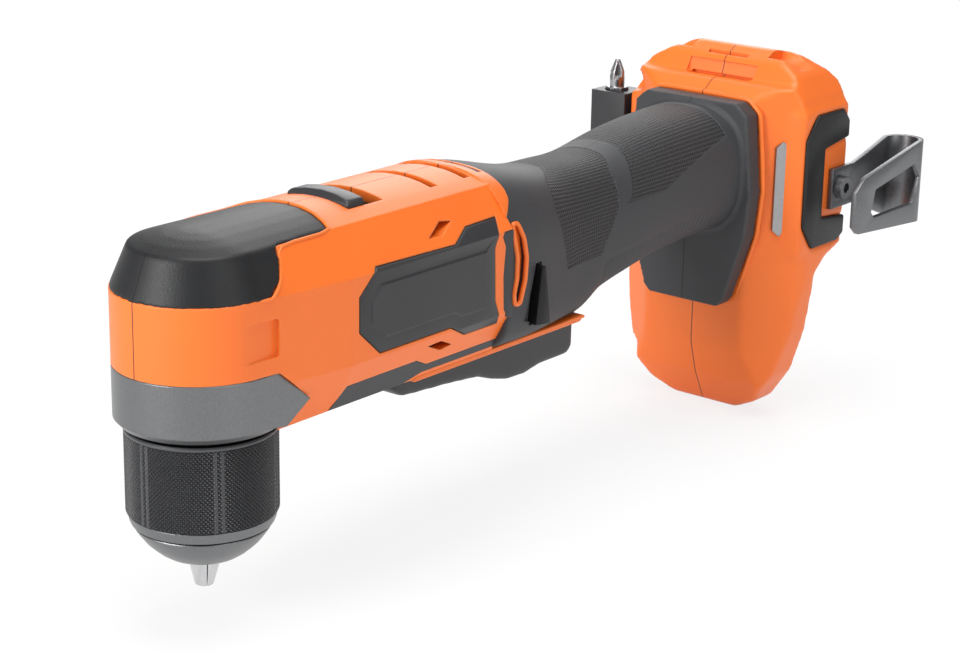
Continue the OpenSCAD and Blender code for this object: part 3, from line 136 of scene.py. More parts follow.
def soft_lamp(name, place, aim, size, watts):
    bpy.ops.object.light_add(type="AREA", location=place)
    lamp = bpy.context.object
    lamp.name = name
    lamp.data.shape = "DISK"
    lamp.data.size = size
    lamp.data.energy = watts
    lamp.rotation_mode = "QUATERNION"
    lamp.rotation_quaternion = (Vector(aim) - Vector(place)).to_track_quat("-Z", "Y")


middle = (-0.1, 0.0, 0.05)
soft_lamp("lamp_overhead", (-0.1, 0.1, 1.3), middle, 1.0, 14.0)
soft_lamp("lamp_front", (1.3, -0.25, 0.55), middle, 0.8, 19.0)
soft_lamp("lamp_left", (0.1, 1.4, 0.5), middle, 0.9, 5.0)
soft_lamp("lamp_back", (-1.3, -0.9, 0.7), middle, 1.0, 8.0)


# Inner works: steel shafts, gears and bearings, a stacked stator with copper windings, and zinc cases.
# The steel is ground or cut and lightly oiled, so fine tool lines run over a bright surface.
def node_group(name, vectors, values, results):
    group = bpy.data.node_groups.new(name, "ShaderNodeTree")
    for socket in vectors:
        group.interface.new_socket(socket, in_out="INPUT", socket_type="NodeSocketVector")
    for socket in values:
        group.interface.new_socket(socket, in_out="INPUT", socket_type="NodeSocketFloat")
    for socket in results:
        group.interface.new_socket(socket, in_out="OUTPUT", socket_type="NodeSocketFloat")
    return group, group.nodes.new("NodeGroupInput"), group.nodes.new("NodeGroupOutput")


fine_grain, grain_in, grain_out = node_group("fine_grain", ["Vector"], ["Scale"], ["Height", "Tone"])
grain_noise = fine_grain.nodes.new("ShaderNodeTexNoise")
grain_noise.inputs["Detail"].default_value = 2.0
grain_cloud = fine_grain.nodes.new("ShaderNodeTexNoise")
grain_cloud.inputs["Scale"].default_value = 32.0
grain_cloud.inputs["Detail"].default_value = 3.0
fine_grain.links.new(grain_in.outputs["Vector"], grain_noise.inputs["Vector"])
fine_grain.links.new(grain_in.outputs["Scale"], grain_noise.inputs["Scale"])
fine_grain.links.new(grain_in.outputs["Vector"], grain_cloud.inputs["Vector"])
fine_grain.links.new(grain_noise.outputs["Fac"], grain_out.inputs["Height"])
fine_grain.links.new(grain_cloud.outputs["Fac"], grain_out.inputs["Tone"])


def placed(tree, group):
    node = tree.nodes.new("ShaderNodeGroup")
    node.node_tree = group
    return node


def ranged(tree, value, from_low, from_high, to_low=0.0, to_high=1.0):
    node = tree.nodes.new("ShaderNodeMapRange")
    node.inputs["From Min"].default_value = from_low
    node.inputs["From Max"].default_value = from_high
    node.inputs["To Min"].default_value = to_low
    node.inputs["To Max"].default_value = to_high
    tree.links.new(value, node.inputs["Value"])
    return node.outputs["Result"]


def mixed(tree, share, first, second):
    mix = tree.nodes.new("ShaderNodeMix")
    mix.data_type = "RGBA"
    tree.links.new(share, mix.inputs["Factor"])
    for socket, colour in (("A", first), ("B", second)):
        if isinstance(colour, tuple):
            mix.inputs[socket].default_value = (*colour, 1.0)
        else:
            tree.links.new(colour, mix.inputs[socket])
    return mix.outputs["Result"]


def grained(tree, height, roughness, spread, edge_radius, depth):
    surface = tree.nodes["Principled BSDF"]
    gloss = ranged(tree, height, 0.0, 1.0, roughness - spread, roughness + spread)
    tree.links.new(gloss, surface.inputs["Roughness"])
    rounded = tree.nodes.new("ShaderNodeBevel")
    rounded.inputs["Radius"].default_value = edge_radius
    bump = tree.nodes.new("ShaderNodeBump")
    bump.inputs["Distance"].default_value = depth
    tree.links.new(height, bump.inputs["Height"])
    tree.links.new(rounded.outputs["Normal"], bump.inputs["Normal"])
    tree.links.new(bump.outputs["Normal"], surface.inputs["Normal"])
    return rounded.outputs["Normal"]


def metal(name, deep, pale, roughness, streak, streak_depth, edge_radius=0.0004):
    material = bpy.data.materials.new(name)
    material.use_nodes = True
    tree = material.node_tree
    surface = tree.nodes["Principled BSDF"]
    surface.inputs["Metallic"].default_value = 1.0
    place = tree.nodes.new("ShaderNodeTexCoord")
    drawn_out = tree.nodes.new("ShaderNodeMapping")
    drawn_out.inputs["Scale"].default_value = streak
    tree.links.new(place.outputs["Object"], drawn_out.inputs["Vector"])
    grain = placed(tree, fine_grain)
    grain.inputs["Scale"].default_value = 900.0
    tree.links.new(drawn_out.outputs["Vector"], grain.inputs["Vector"])
    tint = mixed(tree, grain.outputs["Height"], deep, pale)
    tree.links.new(tint, surface.inputs["Base Color"])
    grained(tree, grain.outputs["Height"], roughness, 0.07, edge_radius, streak_depth)
    return material


def paint(node_name, material):
    nodes[node_name].data.materials.clear()
    nodes[node_name].data.materials.append(material)


even = (1.0, 1.0, 1.0)
oiled_steel = metal("oiled_steel", (0.42, 0.42, 0.43), (0.62, 0.62, 0.64), 0.28, (1.0, 1.0, 0.1), 0.000004)
for name in ("spindle", "spindle_bearing_lower", "spindle_bearing_upper", "bevel_gear", "bevel_pinion",
             "pinion_bearing", "planet_carrier", "planet_gear_1", "planet_gear_2", "planet_gear_3",
             "shift_ring", "rotor", "sun_gear", "rotor_bearing_front", "rotor_bearing_rear",
             "chuck_body", "chuck_nut", "trigger_pin", "trigger_spring", "switch_plunger"):
    paint(name, oiled_steel)
stacked_sheet = metal("stacked_sheet", (0.16, 0.16, 0.17), (0.3, 0.3, 0.31), 0.42, (8.0, 0.2, 0.2), 0.00003)
paint("stator", stacked_sheet)
wound_copper = metal("wound_copper", (0.42, 0.13, 0.05), (0.66, 0.24, 0.1), 0.32, (1.0, 6.0, 6.0), 0.00004)
paint("windings", wound_copper)
cast_zinc = metal("cast_zinc", (0.3, 0.3, 0.31), (0.42, 0.42, 0.43), 0.45, even, 0.00002)
for name in ("gearbox_case", "motor_plate"):
    paint(name, cast_zinc)


# Housing: two orange glass-filled nylon halves that meet on the centre seam and are screwed together.
# They are moulded with a fine spark-eroded grain, their outer corners are broken, and a thin parting
# line shows. Each side has a shallow pocket in the band of the head and a wavy edge towards the neck.
edge_rub, rub_in, rub_out = node_group("edge_rub", ["Rounded"], ["Tone"], ["Mask"])
rub_face = edge_rub.nodes.new("ShaderNodeNewGeometry")
rub_dot = edge_rub.nodes.new("ShaderNodeVectorMath")
rub_dot.operation = "DOT_PRODUCT"
edge_rub.links.new(rub_in.outputs["Rounded"], rub_dot.inputs[0])
edge_rub.links.new(rub_face.outputs["Normal"], rub_dot.inputs[1])
rub_edge = ranged(edge_rub, rub_dot.outputs["Value"], 0.995, 0.86)
rub_patch = calc(edge_rub, "MULTIPLY", rub_edge, rub_in.outputs["Tone"])
edge_rub.links.new(rub_patch, rub_out.inputs["Mask"])

parting_line, line_in, line_out = node_group("parting_line", ["Vector"], [], ["Mask"])
line_axes = parting_line.nodes.new("ShaderNodeSeparateXYZ")
parting_line.links.new(line_in.outputs["Vector"], line_axes.inputs["Vector"])
line_mask = ranged(parting_line, calc(parting_line, "ABSOLUTE", line_axes.outputs["Y"]), 0.00026, 0.0001)
line_mask.node.interpolation_type = "SMOOTHSTEP"
parting_line.links.new(line_mask, line_out.inputs["Mask"])


def moulding(name, deep, pale, rubbed, in_line, roughness, grain_scale, grain_depth, edge_radius=0.0006,
             specular=0.5):
    material = bpy.data.materials.new(name)
    material.use_nodes = True
    tree = material.node_tree
    surface = tree.nodes["Principled BSDF"]
    surface.inputs["Specular IOR Level"].default_value = specular
    place = tree.nodes.new("ShaderNodeTexCoord")
    grain = placed(tree, fine_grain)
    grain.inputs["Scale"].default_value = grain_scale
    tree.links.new(place.outputs["Object"], grain.inputs["Vector"])
    rounded = grained(tree, grain.outputs["Height"], roughness, 0.06, edge_radius, grain_depth)
    rub = placed(tree, edge_rub)
    tree.links.new(rounded, rub.inputs["Rounded"])
    tree.links.new(grain.outputs["Tone"], rub.inputs["Tone"])
    seam = placed(tree, parting_line)
    tree.links.new(place.outputs["Object"], seam.inputs["Vector"])
    cloud = mixed(tree, grain.outputs["Tone"], deep, pale)
    worn = mixed(tree, rub.outputs["Mask"], cloud, rubbed)
    lined = mixed(tree, seam.outputs["Mask"], worn, in_line)
    tree.links.new(lined, surface.inputs["Base Color"])
    return material


def only(piece):
    bpy.ops.object.select_all(action="DESELECT")
    bpy.context.view_layer.objects.active = piece
    piece.select_set(True)


def edit(piece):
    only(piece)
    bpy.ops.object.mode_set(mode="EDIT")
    bpy.ops.mesh.select_mode(type="VERT")


def leave():
    bpy.ops.object.mode_set(mode="OBJECT")


def whole(piece, operator, **settings):
    edit(piece)
    bpy.ops.mesh.select_all(action="SELECT")
    operator(**settings)
    leave()


def joined(piece, *others):
    only(piece)
    for other in others:
        other.select_set(True)
    if others:
        bpy.ops.object.join()
    return piece


def copied_shape(piece_name, *node_names):
    parts = []
    for node_name in node_names:
        part = bpy.data.objects.new(piece_name, nodes[node_name].data.copy())
        bpy.context.scene.collection.objects.link(part)
        parts.append(part)
    piece = joined(*parts)
    piece.data.materials.clear()
    bpy.ops.mesh.customdata_custom_splitnormals_clear()
    whole(piece, bpy.ops.mesh.remove_doubles, threshold=0.000002)
    return piece


def cut_away(piece, x, outward):
    whole(piece, bpy.ops.mesh.bisect, plane_co=(x, 0.0, 0.0), plane_no=(outward, 0.0, 0.0), use_fill=True,
          clear_outer=True)


def apply_modifier(piece, kind, **settings):
    bpy.context.view_layer.objects.active = piece
    modifier = piece.modifiers.new("finish", kind)
    for setting, value in settings.items():
        setattr(modifier, setting, value)
    bpy.ops.object.modifier_apply(modifier=modifier.name)


def fresh(name, add_primitive, **settings):
    bpy.ops.object.select_all(action="DESELECT")
    add_primitive(**settings)
    piece = bpy.context.object
    piece.name = name
    bpy.ops.object.transform_apply(location=True, rotation=True, scale=True)
    return piece


def cutter(name, outline, near, far):
    tool = fresh(name, bpy.ops.mesh.primitive_circle_add, vertices=len(outline), radius=0.01,
                 fill_type="NGON")
    for vertex, point in zip(tool.data.vertices, outline):
        vertex.co = (point[0], near, point[1])
    edit(tool)
    bpy.ops.mesh.select_all(action="SELECT")
    bpy.ops.mesh.extrude_region_move(TRANSFORM_OT_translate={"value": (0.0, far - near, 0.0)})
    bpy.ops.mesh.select_all(action="SELECT")
    bpy.ops.mesh.normals_make_consistent(inside=False)
    leave()
    return tool


def cut_out(piece, tool, operation="DIFFERENCE"):
    apply_modifier(piece, "BOOLEAN", object=tool, operation=operation, solver="EXACT")
    bpy.data.objects.remove(tool)


def smooth_shade(piece, degrees):
    only(piece)
    bpy.ops.object.shade_smooth_by_angle(angle=math.radians(degrees))


def fix(piece, material, body, slot, *replaced):
    piece.data.materials.clear()
    piece.data.materials.append(material)
    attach(piece, body)
    if replaced:
        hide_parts(*replaced)


orange_nylon = moulding(
    "orange_nylon", (0.8, 0.14, 0.011), (0.88, 0.175, 0.016), (1.0, 0.33, 0.08), (0.12, 0.02, 0.004),
    0.42, 2600.0, 0.00002)
both_sides = (("left", 1.0), ("right", -1.0))
foot_split_x = -0.2152
pocket_floor_y = 0.0209
wave_floor_y = 0.0234
past_body_y = 0.03
pocket_outline = [
    (-0.005, 0.064), (-0.0044, 0.0635), (0.012, 0.0635), (0.012, 0.0732), (-0.0044, 0.0732), (-0.005, 0.0727)]
wave_outline = [
    (-0.0915, 0.0539), (-0.0893, 0.0546), (-0.0876, 0.057), (-0.0872, 0.0663), (-0.088, 0.0742),
    (-0.0867, 0.0772), (-0.0874, 0.0785), (-0.0915, 0.0785)]
for side, facing in both_sides:
    body_half = copied_shape("body_" + side, "housing_" + side)
    cut_away(body_half, foot_split_x, -1.0)
    cut_out(body_half, cutter("band_cutter", pocket_outline, facing * pocket_floor_y, facing * past_body_y))
    cut_out(body_half, cutter("wave_cutter", wave_outline, facing * wave_floor_y, facing * past_body_y))
    smooth_shade(body_half, 20)
    fix(body_half, orange_nylon, "drill", "housing", "housing_" + side)


# Foot: the orange shield at the end of the handle that takes the battery, part of the same two halves.
# Its corners are well rounded, so the blocky form is remeshed finely and eased before its top is cut:
# a recess with a slit in front of it, a notch in the middle and a valley on each side.
def eased(piece, voxel_size, rounds, keep):
    apply_modifier(piece, "REMESH", mode="VOXEL", voxel_size=voxel_size)
    apply_modifier(piece, "SMOOTH", factor=0.5, iterations=rounds)
    apply_modifier(piece, "DECIMATE", decimate_type="COLLAPSE", ratio=keep)


foot = copied_shape("foot", "housing_left", "housing_right")
cut_away(foot, foot_split_x, 1.0)
eased(foot, voxel_size=0.0009, rounds=12, keep=0.35)
recess_outline = [(-0.2244, 0.0969), (-0.2268, 0.0969), (-0.2281, 0.1009), (-0.2262, 0.1018)]
slit_outline = [(-0.2238, 0.0966), (-0.2284, 0.0961), (-0.2284, 0.097), (-0.2238, 0.0975)]
notch_outline = [(-0.2293, 0.106), (-0.2293, 0.1004), (-0.231, 0.1004), (-0.231, 0.106)]
valley_outline = [
    (-0.2304, 0.107), (-0.2306, 0.1024), (-0.2326, 0.1007), (-0.236, 0.1004), (-0.239, 0.1022),
    (-0.2404, 0.107)]
valley_near_y = 0.014
past_foot_y = 0.04
for name, outline, half_width in (
        ("recess_cutter", recess_outline, 0.0123), ("slit_cutter", slit_outline, 0.0112),
        ("notch_cutter", notch_outline, 0.0074)):
    cut_out(foot, cutter(name, outline, -half_width, half_width))
for _, facing in both_sides:
    cut_out(foot, cutter("valley_cutter", valley_outline, facing * valley_near_y, facing * past_foot_y))
smooth_shade(foot, 50)
fix(foot, orange_nylon, "drill", "housing")


# Orange trim: the lip round the bumper, the twin rails over the trigger and the rim behind the flange.
# They are part of the housing halves, thin beads that stand a little proud of the edge they follow.
def drawn_line(name, path):
    line = fresh(name, bpy.ops.mesh.primitive_plane_add, size=0.001, location=path[0])
    edit(line)
    bpy.ops.mesh.select_all(action="SELECT")
    bpy.ops.mesh.merge(type="CENTER")
    for before, after in zip(path, path[1:]):
        step = [after[k] - before[k] for k in range(3)]
        bpy.ops.mesh.extrude_region_move(TRANSFORM_OT_translate={"value": step})
    bpy.ops.mesh.select_all(action="SELECT")
    return line


def swept_ring(name, path, radius):
    bead = drawn_line(name, path)
    bpy.ops.mesh.remove_doubles(threshold=0.00001)
    leave()
    bpy.ops.object.modifier_add(type="SKIN")
    for point in bead.data.skin_vertices[0].data:
        point.radius = (radius, radius)
    bpy.ops.object.modifier_apply(modifier=bead.modifiers[0].name)
    apply_modifier(bead, "SUBSURF", levels=1, render_levels=1)
    smooth_shade(bead, 60)
    return bead


def clamped(share):
    return min(1.0, max(0.0, share))


def shoulder_y(x, z):
    flare = clamped(-x / 0.028)
    side_y = 0.0216 + 0.0034 * flare
    edge_y = 0.017 - 0.0006 * flare
    return side_y + (edge_y - side_y) * clamped((z - 0.0784) / 0.0109)


lip_radius = 0.0211
lip_height = 0.0782
half_lip = [
    (-0.0319, 0.0, 0.0924), (-0.0318, 0.0045, 0.0922), (-0.0313, 0.009, 0.0915), (-0.0302, 0.0132, 0.0904),
    (-0.0291, 0.0161, 0.0893)]
for x, z in ((-0.0255, 0.0889), (-0.0205, 0.0889), (-0.0155, 0.0889), (-0.0112, 0.0886), (-0.0092, 0.0872),
             (-0.0083, 0.0845), (-0.0072, 0.0819), (-0.0052, 0.0798), (-0.003, 0.0783)):
    half_lip.append((x, shoulder_y(x, z), z))
for degrees in (88, 76, 64, 52, 40, 28, 14, 0):
    turn = math.radians(degrees)
    half_lip.append((lip_radius * math.cos(turn), lip_radius * math.sin(turn), lip_height))
lip_path = half_lip + [(x, -y, z) for x, y, z in half_lip[-2::-1]]
lip = swept_ring("bumper_lip", lip_path, 0.00052)
fix(lip, orange_nylon, "drill", "housing")


def softened(piece, width, segments, degrees=30):
    apply_modifier(piece, "BEVEL", width=width, segments=segments, limit_method="ANGLE",
                   angle_limit=math.radians(degrees))


upper_rail = [(-0.0585, 0.0429), (-0.1332, 0.0428), (-0.1336, 0.0433), (-0.133, 0.0438), (-0.0605, 0.0437)]
lower_rail = [(-0.0598, 0.042), (-0.1318, 0.0419), (-0.1328, 0.0427), (-0.0586, 0.0428)]
rail_root_y = 0.0146
upper_rail_y = 0.0184
lower_rail_y = 0.0179
for side, facing in both_sides:
    rail = cutter("rail_" + side, upper_rail, facing * rail_root_y, facing * upper_rail_y)
    joined(rail, cutter("low_rail", lower_rail, facing * rail_root_y, facing * lower_rail_y))
    softened(rail, width=0.0003, segments=2)
    smooth_shade(rail, 40)
    fix(rail, orange_nylon, "drill", "housing")

rim_x = -0.2171
half_rim = [
    (0.0, 0.0272), (0.0134, 0.0272), (0.0152, 0.029), (0.0219, 0.0509), (0.0233, 0.065), (0.0224, 0.076),
    (0.0209, 0.0889), (0.0168, 0.0927), (0.008, 0.0929), (0.0, 0.0929)]
rim_path = [(rim_x, y, z) for y, z in half_rim] + [(rim_x, -y, z) for y, z in half_rim[-2::-1]]
rim = swept_ring("flange_rim", rim_path, 0.0009)
fix(rim, orange_nylon, "drill", "housing")


# Gear case: a die-cast collar round the neck of the chuck, with an arrow-shaped tail on each side.
# It is sprayed all over with a dark metallic paint, whose fine flakes glint.
sprayed_look = ((0.15, 0.152, 0.156), (0.25, 0.253, 0.258), 0.36, (3.0, 3.0, 3.0), 0.000005)
sprayed_grey = metal("sprayed_grey", *sprayed_look, edge_radius=0.0006)
paint("gear_case", sprayed_grey)


# Chuck nose: a short turned cone of zinc that closes the front of the sleeve round the jaws.
# Its rim is rounded over, and the cone is painted like the collar.
def turned(name, profile, steps):
    piece = drawn_line(name, [(radius, 0.0, height) for radius, height in profile])
    bpy.ops.mesh.spin(steps=steps, angle=2 * math.pi, center=(0.0, 0.0, 0.0), axis=(0.0, 0.0, 1.0))
    bpy.ops.mesh.select_all(action="SELECT")
    bpy.ops.mesh.remove_doubles(threshold=0.000001)
    bpy.ops.mesh.normals_make_consistent(inside=False)
    leave()
    return piece


nose_profile = [
    (0.00902, 0.00882), (0.0095, 0.00882), (0.0099, 0.009), (0.0117, 0.0102), (0.0135, 0.0118),
    (0.0147, 0.013), (0.0156, 0.0142), (0.0164, 0.0153), (0.017, 0.0162), (0.01735, 0.0169),
    (0.0172, 0.01717), (0.00902, 0.01718), (0.00902, 0.00882)]
nose = turned("nose_ring", nose_profile, 96)
smooth_shade(nose, 40)
sprayed_nose = metal("sprayed_nose", *sprayed_look, edge_radius=0.0003)
fix(nose, sprayed_nose, "chuck", "nose", "chuck_nose")


# Chuck sleeve: a black anodised tube that the hand turns to open the jaws.
# Diamond knurling is rolled into it between six pairs of plain ribs, and its lower rim is a ring of
# its own, painted like the nose. Its knurl crests and rib tops carry a painted highlight, and its knurl pits
# painted shade.
knurl_columns = 108
rim_profile = [
    (0.01645, 0.0176), (0.0176, 0.0176), (0.018, 0.0178), (0.01835, 0.0186), (0.0187, 0.0204),
    (0.0186, 0.0205), (0.01645, 0.0205), (0.01645, 0.0176)]
sleeve_rim = turned("sleeve_rim", rim_profile, knurl_columns)
smooth_shade(sleeve_rim, 35)
fix(sleeve_rim, sprayed_nose, "sleeve", "nose")
sleeve_profile = [
    (0.01645, 0.0206), (0.0186, 0.0206), (0.0187, 0.0207), (0.0186, 0.0208), (0.0186, 0.0419),
    (0.0191, 0.042), (0.0192, 0.0422), (0.0192, 0.0426), (0.0189, 0.043), (0.0183, 0.0432),
    (0.01645, 0.0432), (0.01645, 0.0206)]
sleeve = turned("sleeve_tube", sleeve_profile, knurl_columns)
smooth_shade(sleeve, 35)

knurl_rows = 19
knurl_low = 0.0207
knurl_high = 0.0419
knurl_slack = 0.00002
knurl = fresh("sleeve_knurl", bpy.ops.mesh.primitive_cylinder_add, vertices=knurl_columns, radius=0.01872,
              depth=knurl_high - knurl_low, end_fill_type="NOTHING",
              location=(0.0, 0.0, (knurl_low + knurl_high) / 2))


def pick(piece, kind, test):
    edit(piece)
    bpy.ops.mesh.select_mode(type=kind)
    bpy.ops.mesh.select_all(action="DESELECT")
    leave()
    for element in piece.data.polygons if kind == "FACE" else piece.data.edges:
        element.select = test(element)
    bpy.ops.object.mode_set(mode="EDIT")


def is_tall(edge):
    first, second = (knurl.data.vertices[index].co for index in edge.vertices)
    return abs(first.z - second.z) > 0.001


def is_grid(edge):
    first, second = (knurl.data.vertices[index].co for index in edge.vertices)
    upright = (first - second).xy.length < knurl_slack
    level = abs(first.z - second.z) < knurl_slack
    at_low = max(abs(first.z - knurl_low), abs(second.z - knurl_low)) < knurl_slack
    at_high = max(abs(first.z - knurl_high), abs(second.z - knurl_high)) < knurl_slack
    return (upright or level) and not (at_low or at_high)


pick(knurl, "EDGE", is_tall)
bpy.ops.mesh.subdivide(number_cuts=knurl_rows - 1)
bpy.ops.mesh.select_all(action="SELECT")
bpy.ops.mesh.poke(offset=0.0)
leave()
pick(knurl, "EDGE", is_grid)
bpy.ops.mesh.dissolve_edges(use_verts=False)
bpy.ops.mesh.select_all(action="SELECT")
bpy.ops.mesh.poke(offset=0.0005)
bpy.ops.mesh.normals_make_consistent(inside=False)
leave()

rib_pairs = 6
rib_turn = -1.5
rib_spread = 2.7
bpy.ops.object.select_all(action="DESELECT")
bpy.ops.mesh.primitive_cube_add(size=1.0)
rib = bpy.context.object
rib.scale = (0.0008, 0.0011, 0.0212)
rib.location = (0.0186, 0.0, 0.0313)
bpy.ops.object.transform_apply(location=True, scale=True)
softened(rib, width=0.00025, segments=2)
ribs = []
for pair in range(rib_pairs):
    for spread in (-rib_spread, rib_spread):
        copy = bpy.data.objects.new("sleeve_rib", rib.data.copy())
        turn = math.radians(360 / rib_pairs * pair + rib_turn + spread)
        copy.data.transform(Matrix.Rotation(turn, 4, "Z"))
        bpy.context.scene.collection.objects.link(copy)
        ribs.append(copy)
bpy.data.objects.remove(rib)
joined(sleeve, knurl, *ribs)
smooth_shade(sleeve, 25)
black_anodised = moulding(
    "black_anodised", (0.018, 0.0185, 0.0205), (0.026, 0.0265, 0.029), (0.1, 0.1, 0.105),
    (0.018, 0.0185, 0.0205), 0.36, 1500.0, 0.000008, 0.00015)


# Mixes a colour over a material's base colour through a mask; it is used to paint highlights and shade into the
# colour.
def painted_light_over(material, mask, colour):
    tree = material.node_tree
    base = tree.nodes["Principled BSDF"].inputs["Base Color"]
    tree.links.new(mixed(tree, mask, base.links[0].from_socket, colour), base)


sleeve_tree = black_anodised.node_tree
sleeve_place = sleeve_tree.nodes.new("ShaderNodeTexCoord")
sleeve_flat = sleeve_tree.nodes.new("ShaderNodeVectorMath")
sleeve_flat.operation = "MULTIPLY"
sleeve_flat.inputs[1].default_value = (1.0, 1.0, 0.0)
sleeve_tree.links.new(sleeve_place.outputs["Object"], sleeve_flat.inputs[0])
from_axis = sleeve_tree.nodes.new("ShaderNodeVectorMath")
from_axis.operation = "LENGTH"
sleeve_tree.links.new(sleeve_flat.outputs["Vector"], from_axis.inputs[0])
# Painted highlight: the outermost parts of the sleeve, the knurl crests and rib tops, are given a lighter
# colour.
knurl_crest_highlight = ranged(sleeve_tree, from_axis.outputs["Value"], 0.01886, 0.0192)
painted_light_over(black_anodised, knurl_crest_highlight, (0.06, 0.061, 0.065))
# Painted shade: the knurl pits, nearest the axis, are given a darker colour.
knurl_pit_shade = ranged(sleeve_tree, from_axis.outputs["Value"], 0.01884, 0.01868)
painted_light_over(black_anodised, knurl_pit_shade, (0.003, 0.003, 0.0035))
fix(sleeve, black_anodised, "sleeve", "sleeve", "chuck_sleeve")


# Jaws: three ground steel pins that close on the drill bit, bright at the tip.
# They slide in slanting bores of the chuck body and show in the mouth of the nose.
ground_steel = metal("ground_steel", (0.52, 0.52, 0.53), (0.74, 0.74, 0.75), 0.24, (1.0, 1.0, 0.08), 0.000003)
for name in ("jaw_1", "jaw_2", "jaw_3"):
    paint(name, ground_steel)


# Bumper: black rubber moulded over the top of the head, in two halves with a fine seam between them.
# The halves are joined at the seam, the edges are rounded over, and the rubber has a fine satin grain.
dark_rubber = moulding(
    "dark_rubber", (0.007, 0.0072, 0.008), (0.014, 0.0145, 0.016), (0.05, 0.051, 0.055),
    (0.002, 0.002, 0.002), 0.46, 2200.0, 0.00006, specular=0.35)
bumper = copied_shape("bumper", "bumper_left", "bumper_right")
seam_slack = 0.000005


def on_seam(face):
    return all(abs(bumper.data.vertices[index].co.y) < seam_slack for index in face.vertices)


pick(bumper, "FACE", on_seam)
bpy.ops.mesh.delete(type="FACE")
bpy.ops.mesh.select_all(action="SELECT")
bpy.ops.mesh.remove_doubles(threshold=seam_slack)
leave()
eased(bumper, voxel_size=0.0005, rounds=9, keep=0.35)
smooth_shade(bumper, 50)
fix(bumper, dark_rubber, "drill", "soft", "bumper_left", "bumper_right")


# Side plates: hard black nylon plates let into each side of the body.
# Each is a thin moulding with a raised satin field inside a narrow border, and its edges are broken.
black_nylon = moulding(
    "black_nylon", (0.018, 0.018, 0.02), (0.027, 0.027, 0.03), (0.055, 0.055, 0.06), (0.018, 0.018, 0.02),
    0.42, 2600.0, 0.00002, 0.0004)


def bevelled(piece_name, node_name, width, segments, degrees=32):
    piece = copied_shape(piece_name, node_name)
    whole(piece, bpy.ops.mesh.dissolve_limited, angle_limit=math.radians(0.4))
    softened(piece, width, segments, degrees)
    return piece


for side, facing in both_sides:
    plate = bevelled("plate_" + side, "side_plate_" + side, width=0.0006, segments=2, degrees=50)
    pick(plate, "FACE", lambda face: face.normal.y * facing > 0.97 and face.area > 0.0004)
    bpy.ops.mesh.inset(thickness=0.0032, depth=0.0)
    bpy.ops.mesh.inset(thickness=0.0005, depth=0.0004)
    leave()
    smooth_shade(plate, 25)
    fix(plate, black_nylon, "drill", "plate", "side_plate_" + side)


# Handle skin: black rubber moulded over the neck and handle, in two halves that meet along the top.
# It runs out into a flange against the foot, is lofted ring by ring, and is ribbed for the fingers.
# A row is a ring's x, top, bottom and half width, and the powers that round its upper and lower half.
handle_sections = [
    (-0.0902, 0.0923, 0.043, 0.0249, 2.7, 5.0), (-0.102, 0.091, 0.043, 0.0243, 2.8, 6.0),
    (-0.114, 0.0876, 0.043, 0.022, 2.8, 6.0), (-0.126, 0.0852, 0.043, 0.0198, 2.7, 6.0),
    (-0.133, 0.0852, 0.043, 0.019, 2.6, 6.0), (-0.139, 0.0852, 0.0438, 0.0188, 2.6, 4.0),
    (-0.145, 0.0849, 0.045, 0.0186, 2.6, 3.0), (-0.153, 0.085, 0.046, 0.0188, 2.5, 2.7),
    (-0.162, 0.0864, 0.0472, 0.019, 2.5, 2.5), (-0.174, 0.0888, 0.0492, 0.019, 2.5, 2.5),
    (-0.19, 0.0904, 0.0506, 0.019, 2.5, 2.5), (-0.2105, 0.0908, 0.0512, 0.02, 2.6, 2.6)]


def lofted(name, inset, overrun):
    form = fresh(name, bpy.ops.mesh.primitive_circle_add, vertices=48, radius=1.0,
                 location=(handle_sections[0][0], 0.0, 0.0), rotation=(0.0, math.pi / 2, 0.0))
    edit(form)
    bpy.ops.mesh.select_all(action="SELECT")
    for station, after in zip(handle_sections, handle_sections[1:]):
        step = (after[0] - station[0], 0.0, 0.0)
        bpy.ops.mesh.extrude_region_move(TRANSFORM_OT_translate={"value": step})
    leave()
    for vertex in form.data.vertices:
        station = min(handle_sections, key=lambda s: abs(s[0] - vertex.co.x))
        x, top, bottom, half_width, upper, lower = station
        turn = math.atan2(vertex.co.z, vertex.co.y)
        power = 2.0 / (upper if vertex.co.z > 0 else lower)
        across = abs(math.cos(turn)) ** power * math.copysign(1.0, math.cos(turn))
        rise = abs(math.sin(turn)) ** power * math.copysign(1.0, math.sin(turn))
        vertex.co.y = (half_width - inset) * across
        vertex.co.z = (top + bottom) / 2 + ((top - bottom) / 2 - inset) * rise
        if station == handle_sections[0]:
            vertex.co.x += overrun
        if station == handle_sections[-1]:
            vertex.co.x -= overrun
    apply_modifier(form, "SUBSURF", levels=2, render_levels=2)
    whole(form, bpy.ops.mesh.fill_holes, sides=0)
    whole(form, bpy.ops.mesh.normals_make_consistent, inside=False)
    return form


flange_start_x = -0.2099
handle = lofted("handle_skin", inset=0.0, overrun=0.0)
flange = copied_shape("flange", "grip_left", "grip_right")
cut_away(flange, flange_start_x, 1.0)
joined(handle, flange)
apply_modifier(handle, "REMESH", mode="VOXEL", voxel_size=0.0006)
apply_modifier(handle, "SMOOTH", factor=0.5, iterations=5)
rib_pitch = 0.0024
rib_depth = 0.0005
for vertex in handle.data.vertices:
    x, y, z = vertex.co
    rib_top = 0.0585 + 0.004 * clamped((-0.142 - x) / 0.045)
    within = clamped((rib_top - z) / 0.0015)
    within *= clamped((-0.141 - x) / 0.002) * clamped((x + 0.2) / 0.006)
    if within > 0.0 and vertex.normal.z < 0.3:
        wave = 0.5 + 0.5 * math.sin(2 * math.pi * x / rib_pitch)
        vertex.co -= vertex.normal * within * rib_depth * wave
apply_modifier(handle, "DECIMATE", decimate_type="COLLAPSE", ratio=0.4)
cut_out(handle, lofted("hollow_cutter", inset=0.002, overrun=0.012))

